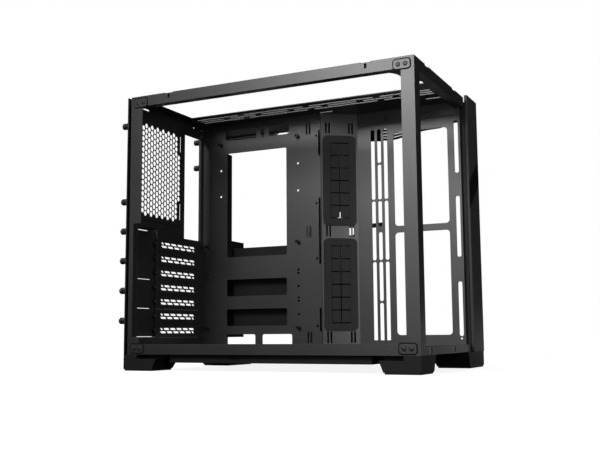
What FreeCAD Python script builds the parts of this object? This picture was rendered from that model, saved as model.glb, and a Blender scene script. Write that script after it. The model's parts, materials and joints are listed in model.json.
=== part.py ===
"""Open dual-chamber computer case: a sheet-steel tower without its glass panels and covers.

Case coordinates, in millimetres: x runs from the rear of the window frame to the front,
y from the open window plane to the far side, and z up from the floor. Every published
piece is shifted so that the origin is the floor-level centre of the whole case.
"""
import FreeCAD, Part
import math
import os
import re

# Driving dimensions: name, value and meaning
DIMENSIONS = (
    ("frame_depth", 410.0, "window frame from rear to front"),
    ("frame_width", 269.5, "window plane to far side"),
    ("frame_top", 374.0, "top of the frame above the floor"),
    ("frame_bottom", 21.5, "underside of the frame above the floor"),
    ("sheet", 1.2, "steel sheet"),
    ("beam_face", 14.5, "height of the top beams"),
    ("beam_depth", 12.0, "flange depth of every beam"),
    ("beam_lip", 8.0, "return lip of the window top beam"),
    ("sill_face", 13.5, "height of the window sill"),
    ("front_sill_face", 10.0, "height of the front sill"),
    ("far_beam_face", 9.5, "height of the far top beam"),
    ("far_notch_rear", 87.0, "cable notch of the far top beam from the frame's rear"),
    ("far_notch_width", 24.0, "width of that notch"),
    ("far_notch_drop", 4.4, "that notch below the frame's top"),
    ("far_notch_round", 4.0, "rounding of that notch"),
    ("far_sill_face", 9.5, "height of the far sill"),
    ("rear_post_face", 18.5, "width of the rear post"),
    ("rear_post_waist", 6.4, "width of the rear post beside the slot recess"),
    ("rear_post_round", 2.0, "rounding of the rear post's notch"),
    ("rear_post_margin", 1.5, "notch beyond the slot recess"),
    ("front_post_face", 17.0, "width of the front post"),
    ("front_post_return", 19.0, "depth of the front post's front flange"),
    ("notch_width", 13.0, "cover notch in a beam's top edge"),
    ("notch_depth", 1.6, "depth of that notch"),
    ("notch_slot", 3.0, "latch slot in the middle of a notch"),
    ("notch_slot_depth", 8.0, "depth of the latch slot"),
    ("notch_rear", 61.5, "rear notch from the frame's rear"),
    ("notch_front", 62.0, "front notch from the frame's front"),
    ("front_notch_near", 48.0, "near notch of the front beam"),
    ("front_notch_far", 47.5, "far notch of the front beam from the fan plane"),
    ("sill_slot_near", 40.0, "near latch slot of the front sill"),
    ("sill_slot_far", 75.5, "far latch slot of the front sill from the fan plane"),
    ("sill_slot_width", 4.0, "latch slot of the front sill"),
    ("sill_slot_height", 7.0, "its height"),
    ("joint_length", 20.6, "corner joint plate"),
    ("joint_height", 11.3, "corner joint plate height"),
    ("joint_inset", 5.2, "corner joint plate from the frame's end"),
    ("joint_round", 3.0, "corner joint plate rounding"),
    ("joint_proud", 0.8, "corner joint plate in front of the frame"),
    ("joint_sink", 0.6, "corner joint plate let into the frame"),
    ("joint_gap", 0.9, "groove round a corner joint plate"),
    ("joint_pitch", 9.2, "spacing of the two joint screws"),
    ("joint_screw_head", 5.8, "joint screw head diameter"),
    ("joint_screw_rise", 1.0, "joint screw head height"),
    ("drive_slot", 0.9, "width of a screw's cross recess"),
    ("drive_reach", 3.4, "length of a screw's cross recess"),
    ("drive_sink", 0.6, "depth of a screw's cross recess"),
    ("lip_reach", 6.0, "rear lip behind the frame"),
    ("lip_width", 16.0, "width of the rear lip"),
    ("rear_plane", 2.0, "inside face of the rear sheet"),
    ("rear_slit", 2.4, "cover slit in the rear sheet's top band"),
    ("rear_slit_length", 18.0, "length of that slit"),
    ("rear_slit_near", 21.0, "slit from the window plane"),
    ("rear_slit_drop", 10.0, "slit below the frame's top"),
    ("rear_eyelet", 3.2, "small hole near the rear sheet's far top corner"),
    ("port_near", 130.0, "board port opening from the window plane"),
    ("port_width", 44.45, "board port opening across the board"),
    ("port_height", 158.75, "board port opening along the board"),
    ("port_bottom", 189.5, "board port opening above the floor"),
    ("grille_near", 9.2, "fan grille from the window plane"),
    ("grille_width", 114.8, "fan grille width without its far seat"),
    ("grille_bottom", 206.5, "fan grille above the floor"),
    ("grille_height", 145.0, "fan grille height"),
    ("grille_seat", 3.0, "fan grille on the rear sheet round its window"),
    ("grille_rim", 6.0, "solid rim of the grille"),
    ("grille_sheet", 1.0, "grille and slot cover sheet"),
    ("hole_pitch", 7.8, "honeycomb pitch"),
    ("hole_width", 6.5, "honeycomb hole across flats"),
    ("grille_slit", 2.4, "fan screw slit beside the honeycomb"),
    ("grille_slit_length", 24.0, "its length"),
    ("grille_slit_inset", 9.5, "slit from the grille's top and bottom edge"),
    ("slot_pitch", 20.32, "expansion slot spacing"),
    ("slot_first", 175.0, "first slot above the floor"),
    ("cover_near", 62.0, "slot cover's bent end from the window plane"),
    ("cover_fit", 0.3, "clearance round a slot cover's tab and screw"),
    ("tab_inset", 3.0, "slot cover's tab inside the cover's long edges"),
    ("cover_length", 105.0, "slot cover length"),
    ("cover_width", 18.9, "slot cover width"),
    ("window_margin", 4.5, "slot window inside its cover's ends"),
    ("window_height", 13.0, "slot window height"),
    ("vent_inset", 8.6, "first vent from the cover's bent end"),
    ("vent_length", 12.8, "vent length"),
    ("vent_short", 5.0, "half vent at a row's end"),
    ("vent_gap", 3.2, "gap between vents"),
    ("vent_height", 2.7, "vent height"),
    ("vent_row_gap", 1.9, "gap between the two vent rows"),
    ("channel_top", 196.0, "slot screw recess above the floor"),
    ("channel_bottom", 42.8, "foot of the slot screw recess"),
    ("channel_rim", 14.0, "recess cap inside the rear sheet"),
    ("channel_cap", 30.0, "width of the recess cap"),
    ("channel_seam", 1.2, "seam at the head and foot of the recess"),
    ("channel_slit", 0.8, "slit between the recess sections"),
    ("channel_slit_length", 29.0, "length of that slit"),
    ("channel_slit_near", 9.0, "slit from the lip"),
    ("slot_screw_head", 5.6, "slot screw head diameter"),
    ("slot_screw_rise", 2.2, "slot screw head height"),
    ("thumb_head", 9.0, "thumbscrew head diameter"),
    ("thumb_length", 11.5, "thumbscrew head length"),
    ("thumb_line", 6.0, "thumbscrews from the window plane"),
    ("thumb_first", 66.4, "lowest thumbscrew above the floor"),
    ("thumb_top", 335.5, "highest thumbscrew above the floor"),
    ("tray_plane", 181.0, "board tray from the window plane"),
    ("tray_right", 205.0, "front edge of the board tray"),
    ("deck_drop", 4.0, "top deck below the frame's top"),
    ("board_rear", 12.1, "rear standoffs from the frame's rear"),
    ("board_top", 338.3, "top standoffs above the floor"),
    ("board_offset", 22.86, "top rear standoff ahead of the lower ones"),
    ("board_span", 154.94, "rear to front standoffs"),
    ("board_mid", 157.48, "top to middle standoffs"),
    ("board_low", 281.94, "top to bottom standoffs"),
    ("standoff_height", 6.5, "standoff height"),
    ("standoff_width", 6.0, "standoff across corners"),
    ("standoff_bore", 3.0, "standoff screw bore"),
    ("spare_hole", 3.4, "spare standoff hole"),
    ("cooler_rear", 46.0, "cooler cut-out from the frame's rear"),
    ("cooler_length", 102.0, "cooler cut-out length"),
    ("cooler_bottom", 163.0, "cooler cut-out above the floor"),
    ("cooler_height", 160.5, "cooler cut-out height"),
    ("cooler_fold", 13.2, "stiffening fold behind the cooler cut-out's rear edge"),
    ("cut_round", 2.5, "rounding of the tray's cut-outs"),
    ("pocket_height", 25.0, "cable cut-out height"),
    ("pocket_upper", 104.0, "upper cable cut-out above the floor"),
    ("pocket_lower", 59.5, "lower cable cut-out above the floor"),
    ("crown_bottom", 344.0, "top cable cut-outs above the floor"),
    ("crown_height", 15.0, "top cable cut-out height"),
    ("crown_length", 53.5, "rear top cable cut-out"),
    ("crown_mini", 6.5, "small top cut-out"),
    ("crown_front", 34.0, "front top cable cut-out"),
    ("crown_gap", 7.5, "gap between the top cut-outs"),
    ("base_bottom", 30.0, "base cable cut-outs above the floor"),
    ("base_height", 17.0, "base cable cut-out height"),
    ("base_length", 49.0, "base cable cut-out length"),
    ("base_gap", 12.0, "gap between the base cut-outs"),
    ("hook_slot", 3.0, "hook slot beside the cable plate"),
    ("hook_inset", 0.8, "hook slot from the tray's front edge"),
    ("hook_top", 306.0, "top hook slot above the floor"),
    ("hook_top_height", 38.0, "top hook slot height"),
    ("hook_middle", 147.0, "middle hook slot above the floor"),
    ("hook_middle_height", 96.5, "middle hook slot height"),
    ("hook_base", 50.0, "lowest hook slot above the floor"),
    ("hook_base_height", 34.0, "lowest hook slot height"),
    ("hook_ear", 3.4, "round ear beside a hook slot"),
    ("hook_ear_inset", 8.0, "ear from the end of its slot"),
    ("tie_width", 7.4, "cable tie bridge with its two slots"),
    ("tie_slot", 2.6, "one cable tie slot"),
    ("tie_height", 16.0, "cable tie slot height"),
    ("tie_back", 24.3, "tray tie bridges from the tray's front edge"),
    ("tie_inset", 6.4, "plate tie bridges from the plate's sides"),
    ("tie_upper", 339.0, "upper tie bridges above the floor"),
    ("tie_middle", 186.5, "middle tie bridges above the floor"),
    ("tie_lower", 34.0, "lower tie bridges above the floor"),
    ("fan_plane", 213.0, "fan bracket from the window plane"),
    ("cable_run", 44.5, "slanting cable plate along the case"),
    ("grommet_inset", 3.0, "grommet flange from the plate's sides"),
    ("grommet_overlap", 4.5, "grommet flange over the plate's opening"),
    ("grommet_border", 10.5, "grommet flange width"),
    ("grommet_rise", 2.0, "grommet flange thickness"),
    ("grommet_round", 7.0, "grommet corner rounding"),
    ("grommet_upper", 202.5, "upper grommet above the floor"),
    ("grommet_lower", 51.0, "lower grommet above the floor"),
    ("grommet_height", 133.0, "grommet height"),
    ("grommet_slit", 1.6, "slit between grommet flaps"),
    ("fan_front_gap", 6.0, "fan bracket short of the frame's front"),
    ("fan_last", 6.0, "front fan slots from the bracket's front edge"),
    ("fan_wide", 124.5, "screw spacing of a large fan"),
    ("fan_narrow", 105.0, "screw spacing of a small fan"),
    ("fan_slot", 5.8, "fan screw slot width"),
    ("fan_slot_bottom", 37.5, "foot of the fan slots"),
    ("fan_slot_top", 342.5, "head of the fan slots"),
    ("fan_bridge", 2.6, "bridge across a fan slot"),
    ("fan_bridge_upper", 238.0, "upper bridge above the floor"),
    ("fan_bridge_lower", 150.0, "lower bridge above the floor"),
    ("fan_mid_upper", 291.6, "middle column's upper bridge above the floor"),
    ("fan_mid_center", 195.5, "middle column's wide bridge above the floor"),
    ("fan_mid_wide", 8.0, "middle column's wide bridge"),
    ("fan_mid_lower", 91.4, "middle column's lower bridge above the floor"),
    ("fan_end_upper", 268.2, "foot of the front column's upper slot"),
    ("fan_end_middle", 151.0, "foot of the front column's middle slot"),
    ("fan_end_middle_height", 84.6, "front column's middle slot height"),
    ("fan_end_lower", 42.8, "foot of the front column's lower slot"),
    ("fan_end_lower_height", 74.2, "front column's lower slot height"),
    ("fan_pin", 2.6, "locating hole below the front column"),
    ("fan_pin_drop", 3.4, "that hole below the front column's foot"),
    ("fan_open_inset", 12.5, "fan opening from the screw lines"),
    ("fan_open_bottom", 44.6, "lower fan opening above the floor"),
    ("fan_open_lower", 144.7, "lower fan opening height"),
    ("fan_open_bar", 9.7, "bar between the fan openings"),
    ("fan_open_upper", 136.0, "upper fan opening height"),
    ("fan_open_round", 5.0, "fan opening rounding"),
    ("deck_near", 121.0, "far edge of the top opening from the window plane"),
    ("deck_rear", 20.0, "rear edge of the top opening from the frame's rear"),
    ("deck_front", 38.5, "front edge of the top opening from the frame's front"),
    ("deck_side", 34.5, "near edge of the top opening from the window plane"),
    ("deck_round", 24.0, "rounding of the top opening's near front corner"),
    ("deck_window", 15.0, "hand slot in the deck's front strip"),
    ("deck_window_width", 12.0, "width of that slot"),
    ("deck_window_front", 34.0, "that slot's rear end from the frame's front"),
    ("deck_window_near", 93.0, "that slot from the window plane"),
    ("deck_slot", 4.4, "width of a vent row in the top deck"),
    ("deck_slot_row", 13.2, "first vent row from the opening"),
    ("deck_slot_rows", 9.4, "spacing of the vent rows"),
    ("deck_strip_rear", 19.0, "vent rows from the frame's rear"),
    ("deck_strip_front", 24.0, "vent rows from the frame's front"),
    ("deck_bridge", 9.2, "bridge across a vent row"),
    ("deck_bridge_pitch", 53.6, "spacing of the middle row's bridges"),
    ("deck_bridge_middle", 66.4, "first bridge of the middle row from the frame's rear"),
    ("deck_bridge_outer", 94.4, "first bridge of the outer rows from the frame's rear"),
    ("deck_port", 21.4, "cable slot of the top deck"),
    ("deck_port_width", 4.4, "cable slot width"),
    ("deck_port_rear", 203.7, "rear cable slot from the frame's rear"),
    ("deck_port_front", 44.0, "front cable slot from the frame's front"),
    ("deck_port_far", 55.4, "cable slots from the opening's far edge"),
    ("deck_fit", 0.5, "top deck clear of the control housing"),
    ("screen_line", 19.0, "cable screen behind the fan plane"),
    ("screen_back", 58.0, "cable screen's rear edge behind the tray's front edge"),
    ("screen_length", 101.0, "cable screen along the case"),
    ("screen_fold", 10.0, "side folds of the cable screen"),
    ("screen_hole", 10.0, "upper clip hole of the cable screen"),
    ("screen_hole_height", 8.6, "height of that hole"),
    ("screen_hole_rear", 60.0, "that hole from the screen's rear edge"),
    ("screen_hole_bottom", 219.2, "that hole above the floor"),
    ("screen_port", 9.0, "lower clip hole of the cable screen"),
    ("screen_port_height", 11.0, "height of that hole"),
    ("screen_port_rear", 78.0, "that hole from the screen's rear edge"),
    ("screen_port_bottom", 192.0, "that hole above the floor"),
    ("screen_hole_round", 2.0, "rounding of both holes"),
    ("floor_vent_width", 5.0, "floor vent width"),
    ("floor_vent_length", 36.0, "floor vent length"),
    ("floor_vent_pitch", 12.0, "floor vent spacing"),
    ("floor_vent_gap", 5.0, "gap between floor vent rows"),
    ("floor_vent_rear", 92.0, "first floor vents from the frame's rear"),
    ("floor_vent_near", 36.0, "first floor vents from the window plane"),
    ("filter_drop", 10.7, "dust filter frame below the frame"),
    ("filter_rear", 62.0, "dust filter from the frame's rear"),
    ("filter_front", 64.0, "dust filter from the frame's front"),
    ("filter_side", 10.0, "dust filter from the window plane and far side"),
    ("filter_rail", 8.0, "dust filter frame width"),
    ("filter_mesh", 0.8, "dust filter mesh"),
    ("filter_pull", 11.0, "finger recess of the dust filter"),
    ("filter_pull_height", 5.0, "height of that recess"),
    ("filter_pull_depth", 2.0, "depth of that recess"),
    ("filter_pull_round", 2.4, "rounding of that recess"),
    ("filter_pull_rear", 100.0, "middle of that recess from the filter's rear edge"),
    ("cage_rear", 32.0, "drive cage from the frame's rear"),
    ("cage_length", 128.0, "drive cage length"),
    ("cage_bottom", 52.0, "drive cage above the floor"),
    ("cage_height", 126.5, "drive cage height"),
    ("cheek_depth", 72.0, "rear cheek of the drive cage behind the tray"),
    ("cheek_rise", 13.9, "rear cheek above the cage's wall"),
    ("cheek_drop", 9.2, "rear cheek below the cage's wall"),
    ("cage_gap", 17.8, "drive cage wall behind the tray"),
    ("cage_shelf", 30.0, "drive cage shelf depth"),
    ("supply_near", 192.0, "power supply opening from the window plane"),
    ("supply_width", 63.5, "power supply opening width"),
    ("supply_bottom", 219.0, "power supply opening above the floor"),
    ("supply_height", 125.0, "power supply opening height"),
    ("supply_rim", 8.0, "power supply bracket beyond its opening"),
    ("supply_screws", 41.0, "spacing of the power supply thumbscrews"),
    ("supply_screw_top", 348.0, "upper power supply thumbscrew above the floor"),
    ("supply_screw_line", 5.5, "power supply thumbscrews from the tray plane"),
    ("bezel_gap", 5.0, "bezel from the fan plane"),
    ("bezel_reach", 4.0, "bezel ahead of the frame"),
    ("bezel_sheet", 4.5, "bezel thickness"),
    ("bezel_rise", 4.5, "bezel above the frame"),
    ("bezel_edge", 1.2, "bezel edge rounding"),
    ("carrier_inset", 1.0, "bezel carrier inside the bezel's far edge"),
    ("carrier_rail", 8.0, "bezel carrier rail width"),
    ("panel_length", 112.0, "control panel bracket length"),
    ("panel_front", 6.5, "control panel bracket from the fan bracket's front edge"),
    ("panel_height", 18.0, "control panel bracket height"),
    ("panel_screw_head", 6.5, "control panel screw head diameter"),
    ("panel_screw_rise", 1.6, "control panel screw head height"),
    ("panel_screw_low", 12.0, "rear control panel screw below the deck's underside"),
    ("panel_screw_side", 11.0, "rear control panel screw from the bracket's rear"),
    ("panel_screw_pitch", 60.5, "spacing of the control panel screws"),
    ("housing_length", 96.0, "control housing length"),
    ("housing_front", 6.0, "control housing from the fan bracket's front edge"),
    ("housing_width", 42.0, "control housing width"),
    ("housing_height", 24.0, "control housing height"),
    ("housing_wall", 2.0, "control housing wall"),
    ("board_sheet", 1.6, "control board"),
    ("board_drop", 16.0, "control board below the housing's top"),
    ("socket_fit", 0.2, "clearance round a socket"),
    ("socket_length", 13.2, "wide socket length"),
    ("socket_width", 5.8, "wide socket width"),
    ("socket_wall", 0.5, "socket shell"),
    ("socket_pitch", 19.0, "socket spacing"),
    ("socket_first", 15.0, "first socket from the housing's rear"),
    ("small_socket", 9.0, "small socket length"),
    ("small_socket_width", 3.4, "small socket width"),
    ("jack_body", 7.4, "sound jack diameter"),
    ("jack_bore", 3.6, "sound jack bore"),
    ("button_body", 11.0, "power button diameter"),
    ("button_fit", 0.35, "clearance round the power button"),
    ("button_rise", 2.4, "power button above its housing"),
    ("button_travel", 1.2, "power button travel"),
    ("button_flange", 1.2, "power button's keeper flange"),
    ("button_stop", 0.3, "keeper flange below the top wall"),
    ("button_front", 14.0, "power button from the housing's front"),
    ("switch_body", 6.0, "button switch width"),
    ("foot_length", 46.0, "foot along the case at its base"),
    ("foot_width", 48.0, "window side foot across the case at its base"),
    ("foot_far_width", 72.0, "far side foot across the case at its base"),
    ("foot_flare", 8.0, "foot wider at its top"),
    ("foot_rear_reach", 6.0, "rear feet behind the frame"),
    ("foot_far_reach", 3.0, "far front foot ahead of the frame"),
    ("foot_shoulder", 21.0, "full block at a foot's outer end"),
    ("foot_step", 5.7, "pocket between a foot and the sill"),
    ("foot_step_depth", 20.0, "depth of that pocket across the case"),
    ("pad_height", 2.0, "rubber pad height"),
    ("pad_inset", 0.8, "rubber pad inside its foot"),
    ("pad_round", 1.5, "rubber pad rounding"),
    ("lead_width", 3.6, "diameter of a control lead"),
    ("lead_pitch", 4.4, "spacing of the control leads"),
    ("lead_sag", 15.5, "top lead below the control board"),
    ("lead_line", 11.5, "control leads behind the fan bracket"),
)

SLOT_COUNT = 7
THUMB_COUNT = 5
FLAP_ROWS = 6
FLOOR_VENT_COLUMNS = 20
FLOOR_VENT_ROWS = 4
# First bridge, bridge step and bridge count of each vent row in the top deck
DECK_ROWS = (("deck_bridge_outer", 2, 3), ("deck_bridge_middle", 1, 6), ("deck_bridge_outer", 2, 3))
# Small holes of the rear sheet: from the tray plane and below the frame's top
REAR_EYELETS = ((26.7, 10.1), (5.3, 9.8), (5.2, 20.0))
GRILLE_WAIST = 4
COLUMN_STEP = 0.866
CORNERS_OVER_FLATS = 1.1547
SLOT_END_ROUND = 0.45
VENTS_PER_ROW = 5
SECTION_SEAMS = (2.5, 4.5)
REAR_SPARES = (2, 4)
# Spare holes of the tray above its lowest standoff hole, in slot pitches; two of them are pairs
FRONT_SPARES = (0.95, 1.88, 2.12, 2.93, 3.88, 4.12)
TURN_AXIS = FreeCAD.Vector(1, 1, 1)
TURN_ANGLE = 120
BOX_EDGES = {"x": (9, 10, 11, 12), "y": (2, 4, 6, 8), "z": (1, 3, 5, 7)}
THROUGH = 5.0

# Which node each lead belongs to, from the top one down
LEADS = ("control_leads", "control_leads", "grey_control_lead", "control_leads")
# The top lead leaves the board at this place along x from the fan bracket's front edge, the others
# spread ahead of it; each leans back over this run and drops by this share to the first point below
LEAD_EXIT = -40.0
LEAD_EXIT_SPREAD = 1.6
LEAD_EXIT_RUN = 6.0
LEAD_EXIT_SHARE = 0.92
# Then it runs on: along x, away from the lead line, above its lowest stretch, and its spread from the others
LEAD_RUN = (
    (-64.0, 0.0, 9.5, 0.0),
    (-102.0, 0.0, 0.0, 0.0),
    (-136.0, 0.0, 3.5, -0.3),
    (-158.0, -3.0, 0.0, -0.9),
    (-168.0, -8.5, -14.0, -1.2),
)
ARC_SHARE = 0.45

VALUES = {name: value for name, value, meaning in DIMENSIONS}

# Planes that several pieces share
REAR_OUT = "-lip_reach"
REAR_SKIN = "rear_plane - sheet"
FRONT = "frame_depth"
DECK_UNDER = "(frame_top - deck_drop - sheet)"
FLOOR_TOP = "(frame_bottom + 2 * sheet)"
FAN_FRONT = "(frame_depth - fan_front_gap)"
FAN_LEFT = "(tray_right + cable_run)"
FAN_LAST = "(frame_depth - fan_front_gap - fan_last)"
PLATE_WIDTH = "hypot(cable_run; fan_plane - tray_plane)"
BEZEL_NEAR = "(fan_plane + bezel_gap)"
BEZEL_BACK = "(frame_depth + bezel_reach - bezel_sheet)"
HOUSING_REAR = "(frame_depth - fan_front_gap - housing_front - housing_length)"
HOUSING_NEAR = "(fan_plane + sheet)"
BOARD_TOP = "(frame_top - board_drop)"


class Model:
    """The document, its sheet of dimensions and short ways to add bound objects."""

    def __init__(self) -> None:
        """Make the document and fill the sheet."""
        self.doc = FreeCAD.newDocument("computer_case")
        self.sheet = self.doc.addObject("Spreadsheet::Sheet", "Dims")
        for row, (name, value, meaning) in enumerate(DIMENSIONS, 1):
            self.sheet.set(f"A{row}", meaning)
            self.sheet.set(f"B{row}", str(value))
            self.sheet.setAlias(f"B{row}", name)
        self.doc.recompute()
        self.pieces = []

    def bind(self, target, prop: str, text: str) -> None:
        """Bind one property to an expression written with the sheet's names."""
        def cell(match) -> str:
            word = match.group(0)
            return f"Dims.{word}" if word in VALUES else word
        target.setExpression(prop, re.sub(r"[a-z_]+", cell, text))

    def put(self, target, x: str, y: str, z: str) -> None:
        """Bind the three coordinates of an object's Placement."""
        self.bind(target, "Placement.Base.x", x)
        self.bind(target, "Placement.Base.y", y)
        self.bind(target, "Placement.Base.z", z)

    def box(self, x: str, y: str, z: str, length: str, width: str, height: str):
        """Add a box by its low corner and its three sizes."""
        box = self.doc.addObject("Part::Box", "Box")
        self.put(box, x, y, z)
        self.bind(box, "Length", length)
        self.bind(box, "Width", width)
        self.bind(box, "Height", height)
        return box

    def rounded(self, box, axis: str, radius: float):
        """Round the four edges of a box that run along one axis."""
        fillet = self.doc.addObject("Part::Fillet", "Rounded")
        fillet.Base = box
        fillet.Edges = [(edge, radius, radius) for edge in BOX_EDGES[axis]]
        return fillet

    def cylinder(self, axis: str, x: str, y: str, z: str, diameter: str, height: str):
        """Add a cylinder whose axis runs along +x, -y or +z from the given centre."""
        rod = self.doc.addObject("Part::Cylinder", "Cylinder")
        turns = {"x": ((0, 1, 0), 90), "-x": ((0, 1, 0), -90), "-y": ((1, 0, 0), 90), "z": ((0, 0, 1), 0)}
        direction, angle = turns[axis]
        rod.Placement.Rotation = FreeCAD.Rotation(FreeCAD.Vector(*direction), angle)
        self.put(rod, x, y, z)
        self.bind(rod, "Radius", f"({diameter}) / 2")
        self.bind(rod, "Height", height)
        return rod

    def hexagon(self, axis: str, x: str, y: str, z: str, across: str, height: str):
        """Add a hexagonal prism along +x or -y, with its size across corners."""
        prism = self.doc.addObject("Part::Prism", "Hexagon")
        prism.Polygon = 6
        if axis == "x":
            prism.Placement.Rotation = FreeCAD.Rotation(TURN_AXIS, TURN_ANGLE)
        else:
            prism.Placement.Rotation = FreeCAD.Rotation(FreeCAD.Vector(1, 0, 0), 90)
        self.put(prism, x, y, z)
        self.bind(prism, "Circumradius", f"({across}) / 2")
        self.bind(prism, "Height", height)
        return prism

    def wedge(self, base: tuple, top: tuple, x: tuple, z: tuple, top_x: tuple = ()):
        """Add a block whose y range, and x range if given, differ at its base and top."""
        block = self.doc.addObject("Part::Wedge", "Wedge")
        block.Placement.Rotation = FreeCAD.Rotation(TURN_AXIS, TURN_ANGLE)
        upper = top_x or x
        ranges = {"X": base, "X2": top, "Y": z, "Z": x, "Z2": upper}
        for name, (low, high) in ranges.items():
            self.bind(block, f"{name}min", low)
            self.bind(block, f"{name}max", high)
        return block

    def fuse(self, *shapes):
        """Fuse shapes into one."""
        joined = self.doc.addObject("Part::MultiFuse", "Fuse")
        joined.Shapes = list(shapes)
        joined.Refine = True
        return joined

    def group(self, *shapes):
        """Keep shapes together as separate solids."""
        together = self.doc.addObject("Part::Compound", "Group")
        together.Links = list(shapes)
        return together

    def cut(self, base, *tools):
        """Cut every tool from the base."""
        result = self.doc.addObject("Part::Cut", "Cut")
        result.Base = base
        result.Tool = tools[0] if len(tools) == 1 else self.group(*tools)
        return result

    def publish(self, label: str, piece, x: str = "0", y: str = "0", angle: str = "") -> None:
        """Name a finished piece and shift it into the part's own frame."""
        if piece.TypeId not in ("Part::Cut", "Part::MultiFuse", "Part::Compound"):
            piece = self.group(piece)
        piece.Label = label
        rear_end = "(lip_reach + thumb_length)"
        near_end = "(joint_proud + joint_screw_rise)"
        shift_x = f"{x} - (frame_depth + bezel_reach - {rear_end}) / 2"
        shift_y = f"{y} - (frame_width - {near_end}) / 2"
        self.put(piece, shift_x, shift_y, "0")
        if angle:
            self.bind(piece, "Placement.Rotation.Angle", angle)
        self.pieces.append(piece)

    def write(self) -> None:
        """Recompute, check every object and write each piece to its own file."""
        self.doc.recompute()
        for item in self.doc.Objects:
            if "Invalid" in item.State or "Error" in item.State:
                raise RuntimeError(f"{item.Name} ({item.Label}) failed: {item.State}")
        for piece in self.pieces:
            if piece.Shape.isNull() or not piece.Shape.isValid() or not piece.Shape.Solids:
                raise RuntimeError(f"{piece.Label} has no valid solid")
        os.makedirs("parts", exist_ok=True)
        for piece in self.pieces:
            piece.Shape.exportStep(f"parts/{piece.Label}.step")
            print(piece.Label, len(piece.Shape.Solids), round(piece.Shape.Volume, 1))


def channel(model: Model, x: str, z: str, length: str, face: str, far: bool = False):
    """Make a beam along x: a face in the side plane with a top and a bottom flange."""
    face_y = "frame_width - sheet" if far else "0"
    flange_y = "frame_width - beam_depth" if far else "0"
    return model.fuse(
        model.box(x, face_y, z, length, "sheet", face),
        model.box(x, flange_y, z, length, "beam_depth", "sheet"),
        model.box(x, flange_y, f"{z} + {face} - sheet", length, "beam_depth", "sheet"),
    )


def top_notch(model: Model, x: str):
    """Make the cutter of one cover notch with its latch slot in the window top beam."""
    return model.fuse(
        model.box(f"{x} - notch_width / 2", "-sheet", "frame_top - notch_depth",
                  "notch_width", "3 * sheet", "notch_depth + sheet"),
        model.box(f"{x} - notch_slot / 2", "-sheet", "frame_top - notch_slot_depth",
                  "notch_slot", "3 * sheet", "notch_slot_depth"),
    )


def front_notch(model: Model, y: str):
    """Make the cutter of one cover notch in the front top beam."""
    return model.box("frame_depth - 2 * sheet", f"{y} - notch_width / 2", "frame_top - notch_depth",
                     "3 * sheet", "notch_width", "notch_depth + sheet")


def joint_places() -> list:
    """Give each corner joint plate's end and row, its start along x and its height."""
    rows = {"top": "(frame_top - beam_face + joint_height / 2 - sheet / 2)",
            "bottom": "(frame_bottom + sill_face / 2 + sheet)"}
    starts = {"rear": "joint_inset", "front": "(frame_depth - joint_inset - joint_length)"}
    return [(end, row, x, z) for row, z in rows.items() for end, x in starts.items()]


def joint_seats(model: Model, wanted_end: str = "", wanted_row: str = "") -> list:
    """Make the cutters of the shallow seats that the joint plates lie in."""
    seats = []
    for end, row, x, z in joint_places():
        if wanted_end in ("", end) and wanted_row in ("", row):
            block = model.box(f"{x} - joint_gap", "-sheet", f"{z} - joint_height / 2 - joint_gap",
                              "joint_length + 2 * joint_gap", "sheet + joint_sink",
                              "joint_height + 2 * joint_gap")
            seats.append(model.rounded(block, "y", VALUES["joint_round"] + VALUES["joint_gap"]))
    return seats


def end_caps(model: Model, z: str, face: str) -> list:
    """Make the folds that close both ends of a window beam."""
    return [model.box(x, "0", z, "sheet", "beam_depth", face) for x in ("0", "frame_depth - sheet")]


def window_frame(model: Model) -> None:
    """Make the window side's two beams and two posts."""
    top_z = "(frame_top - beam_face)"
    sill_top = "(frame_bottom + sill_face)"
    post = f"{top_z} - {sill_top}"
    lip = model.box("0", "beam_depth - sheet", "frame_top - beam_lip", FRONT, "sheet", "beam_lip")
    beam = model.fuse(channel(model, "0", top_z, FRONT, "beam_face"), lip,
                      *end_caps(model, top_z, "beam_face"))
    notches = (top_notch(model, "notch_rear"), top_notch(model, "(frame_depth - notch_front)"))
    model.publish("window_top_beam", model.cut(beam, *notches, *joint_seats(model, wanted_row="top")))
    sill = model.fuse(channel(model, "0", "frame_bottom", FRONT, "sill_face"),
                      *end_caps(model, "frame_bottom", "sill_face"))
    model.publish("window_sill", model.cut(sill, *joint_seats(model, wanted_row="bottom")))
    angle = model.fuse(
        model.box("0", "0", sill_top, "rear_post_face", "sheet", post),
        model.box("0", "0", sill_top, "sheet", "lip_width - sheet", post),
    )
    notch = model.box("rear_post_waist", "-sheet", "channel_bottom + rear_post_margin", "rear_post_face",
                      "3 * sheet", "channel_top - channel_bottom")
    model.publish("rear_post", model.cut(angle, model.rounded(notch, "y", VALUES["rear_post_round"]),
                                         *joint_seats(model, wanted_end="rear")))
    post_x = "(frame_depth - front_post_face)"
    front = model.fuse(
        model.box(post_x, "0", sill_top, "front_post_face", "sheet", post),
        model.box(post_x, "0", sill_top, "sheet", "beam_depth", post),
        model.box("frame_depth - sheet", "0", sill_top, "sheet", "front_post_return", post),
    )
    model.publish("front_post", model.cut(front, *joint_seats(model, wanted_end="front")))


def cross_head(model: Model, x: str, y: str, z: str, diameter: str, rise: str):
    """Make a screw head that faces the window, with a cross recess."""
    head = model.cylinder("-y", x, y, z, diameter, rise)
    bottom = f"{y} - {rise} - drive_slot"
    depth = "drive_sink + drive_slot"
    cross = model.fuse(
        model.box(f"{x} - drive_reach / 2", bottom, f"{z} - drive_slot / 2",
                  "drive_reach", depth, "drive_slot"),
        model.box(f"{x} - drive_slot / 2", bottom, f"{z} - drive_reach / 2",
                  "drive_slot", depth, "drive_reach"),
    )
    return model.cut(head, cross)


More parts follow.
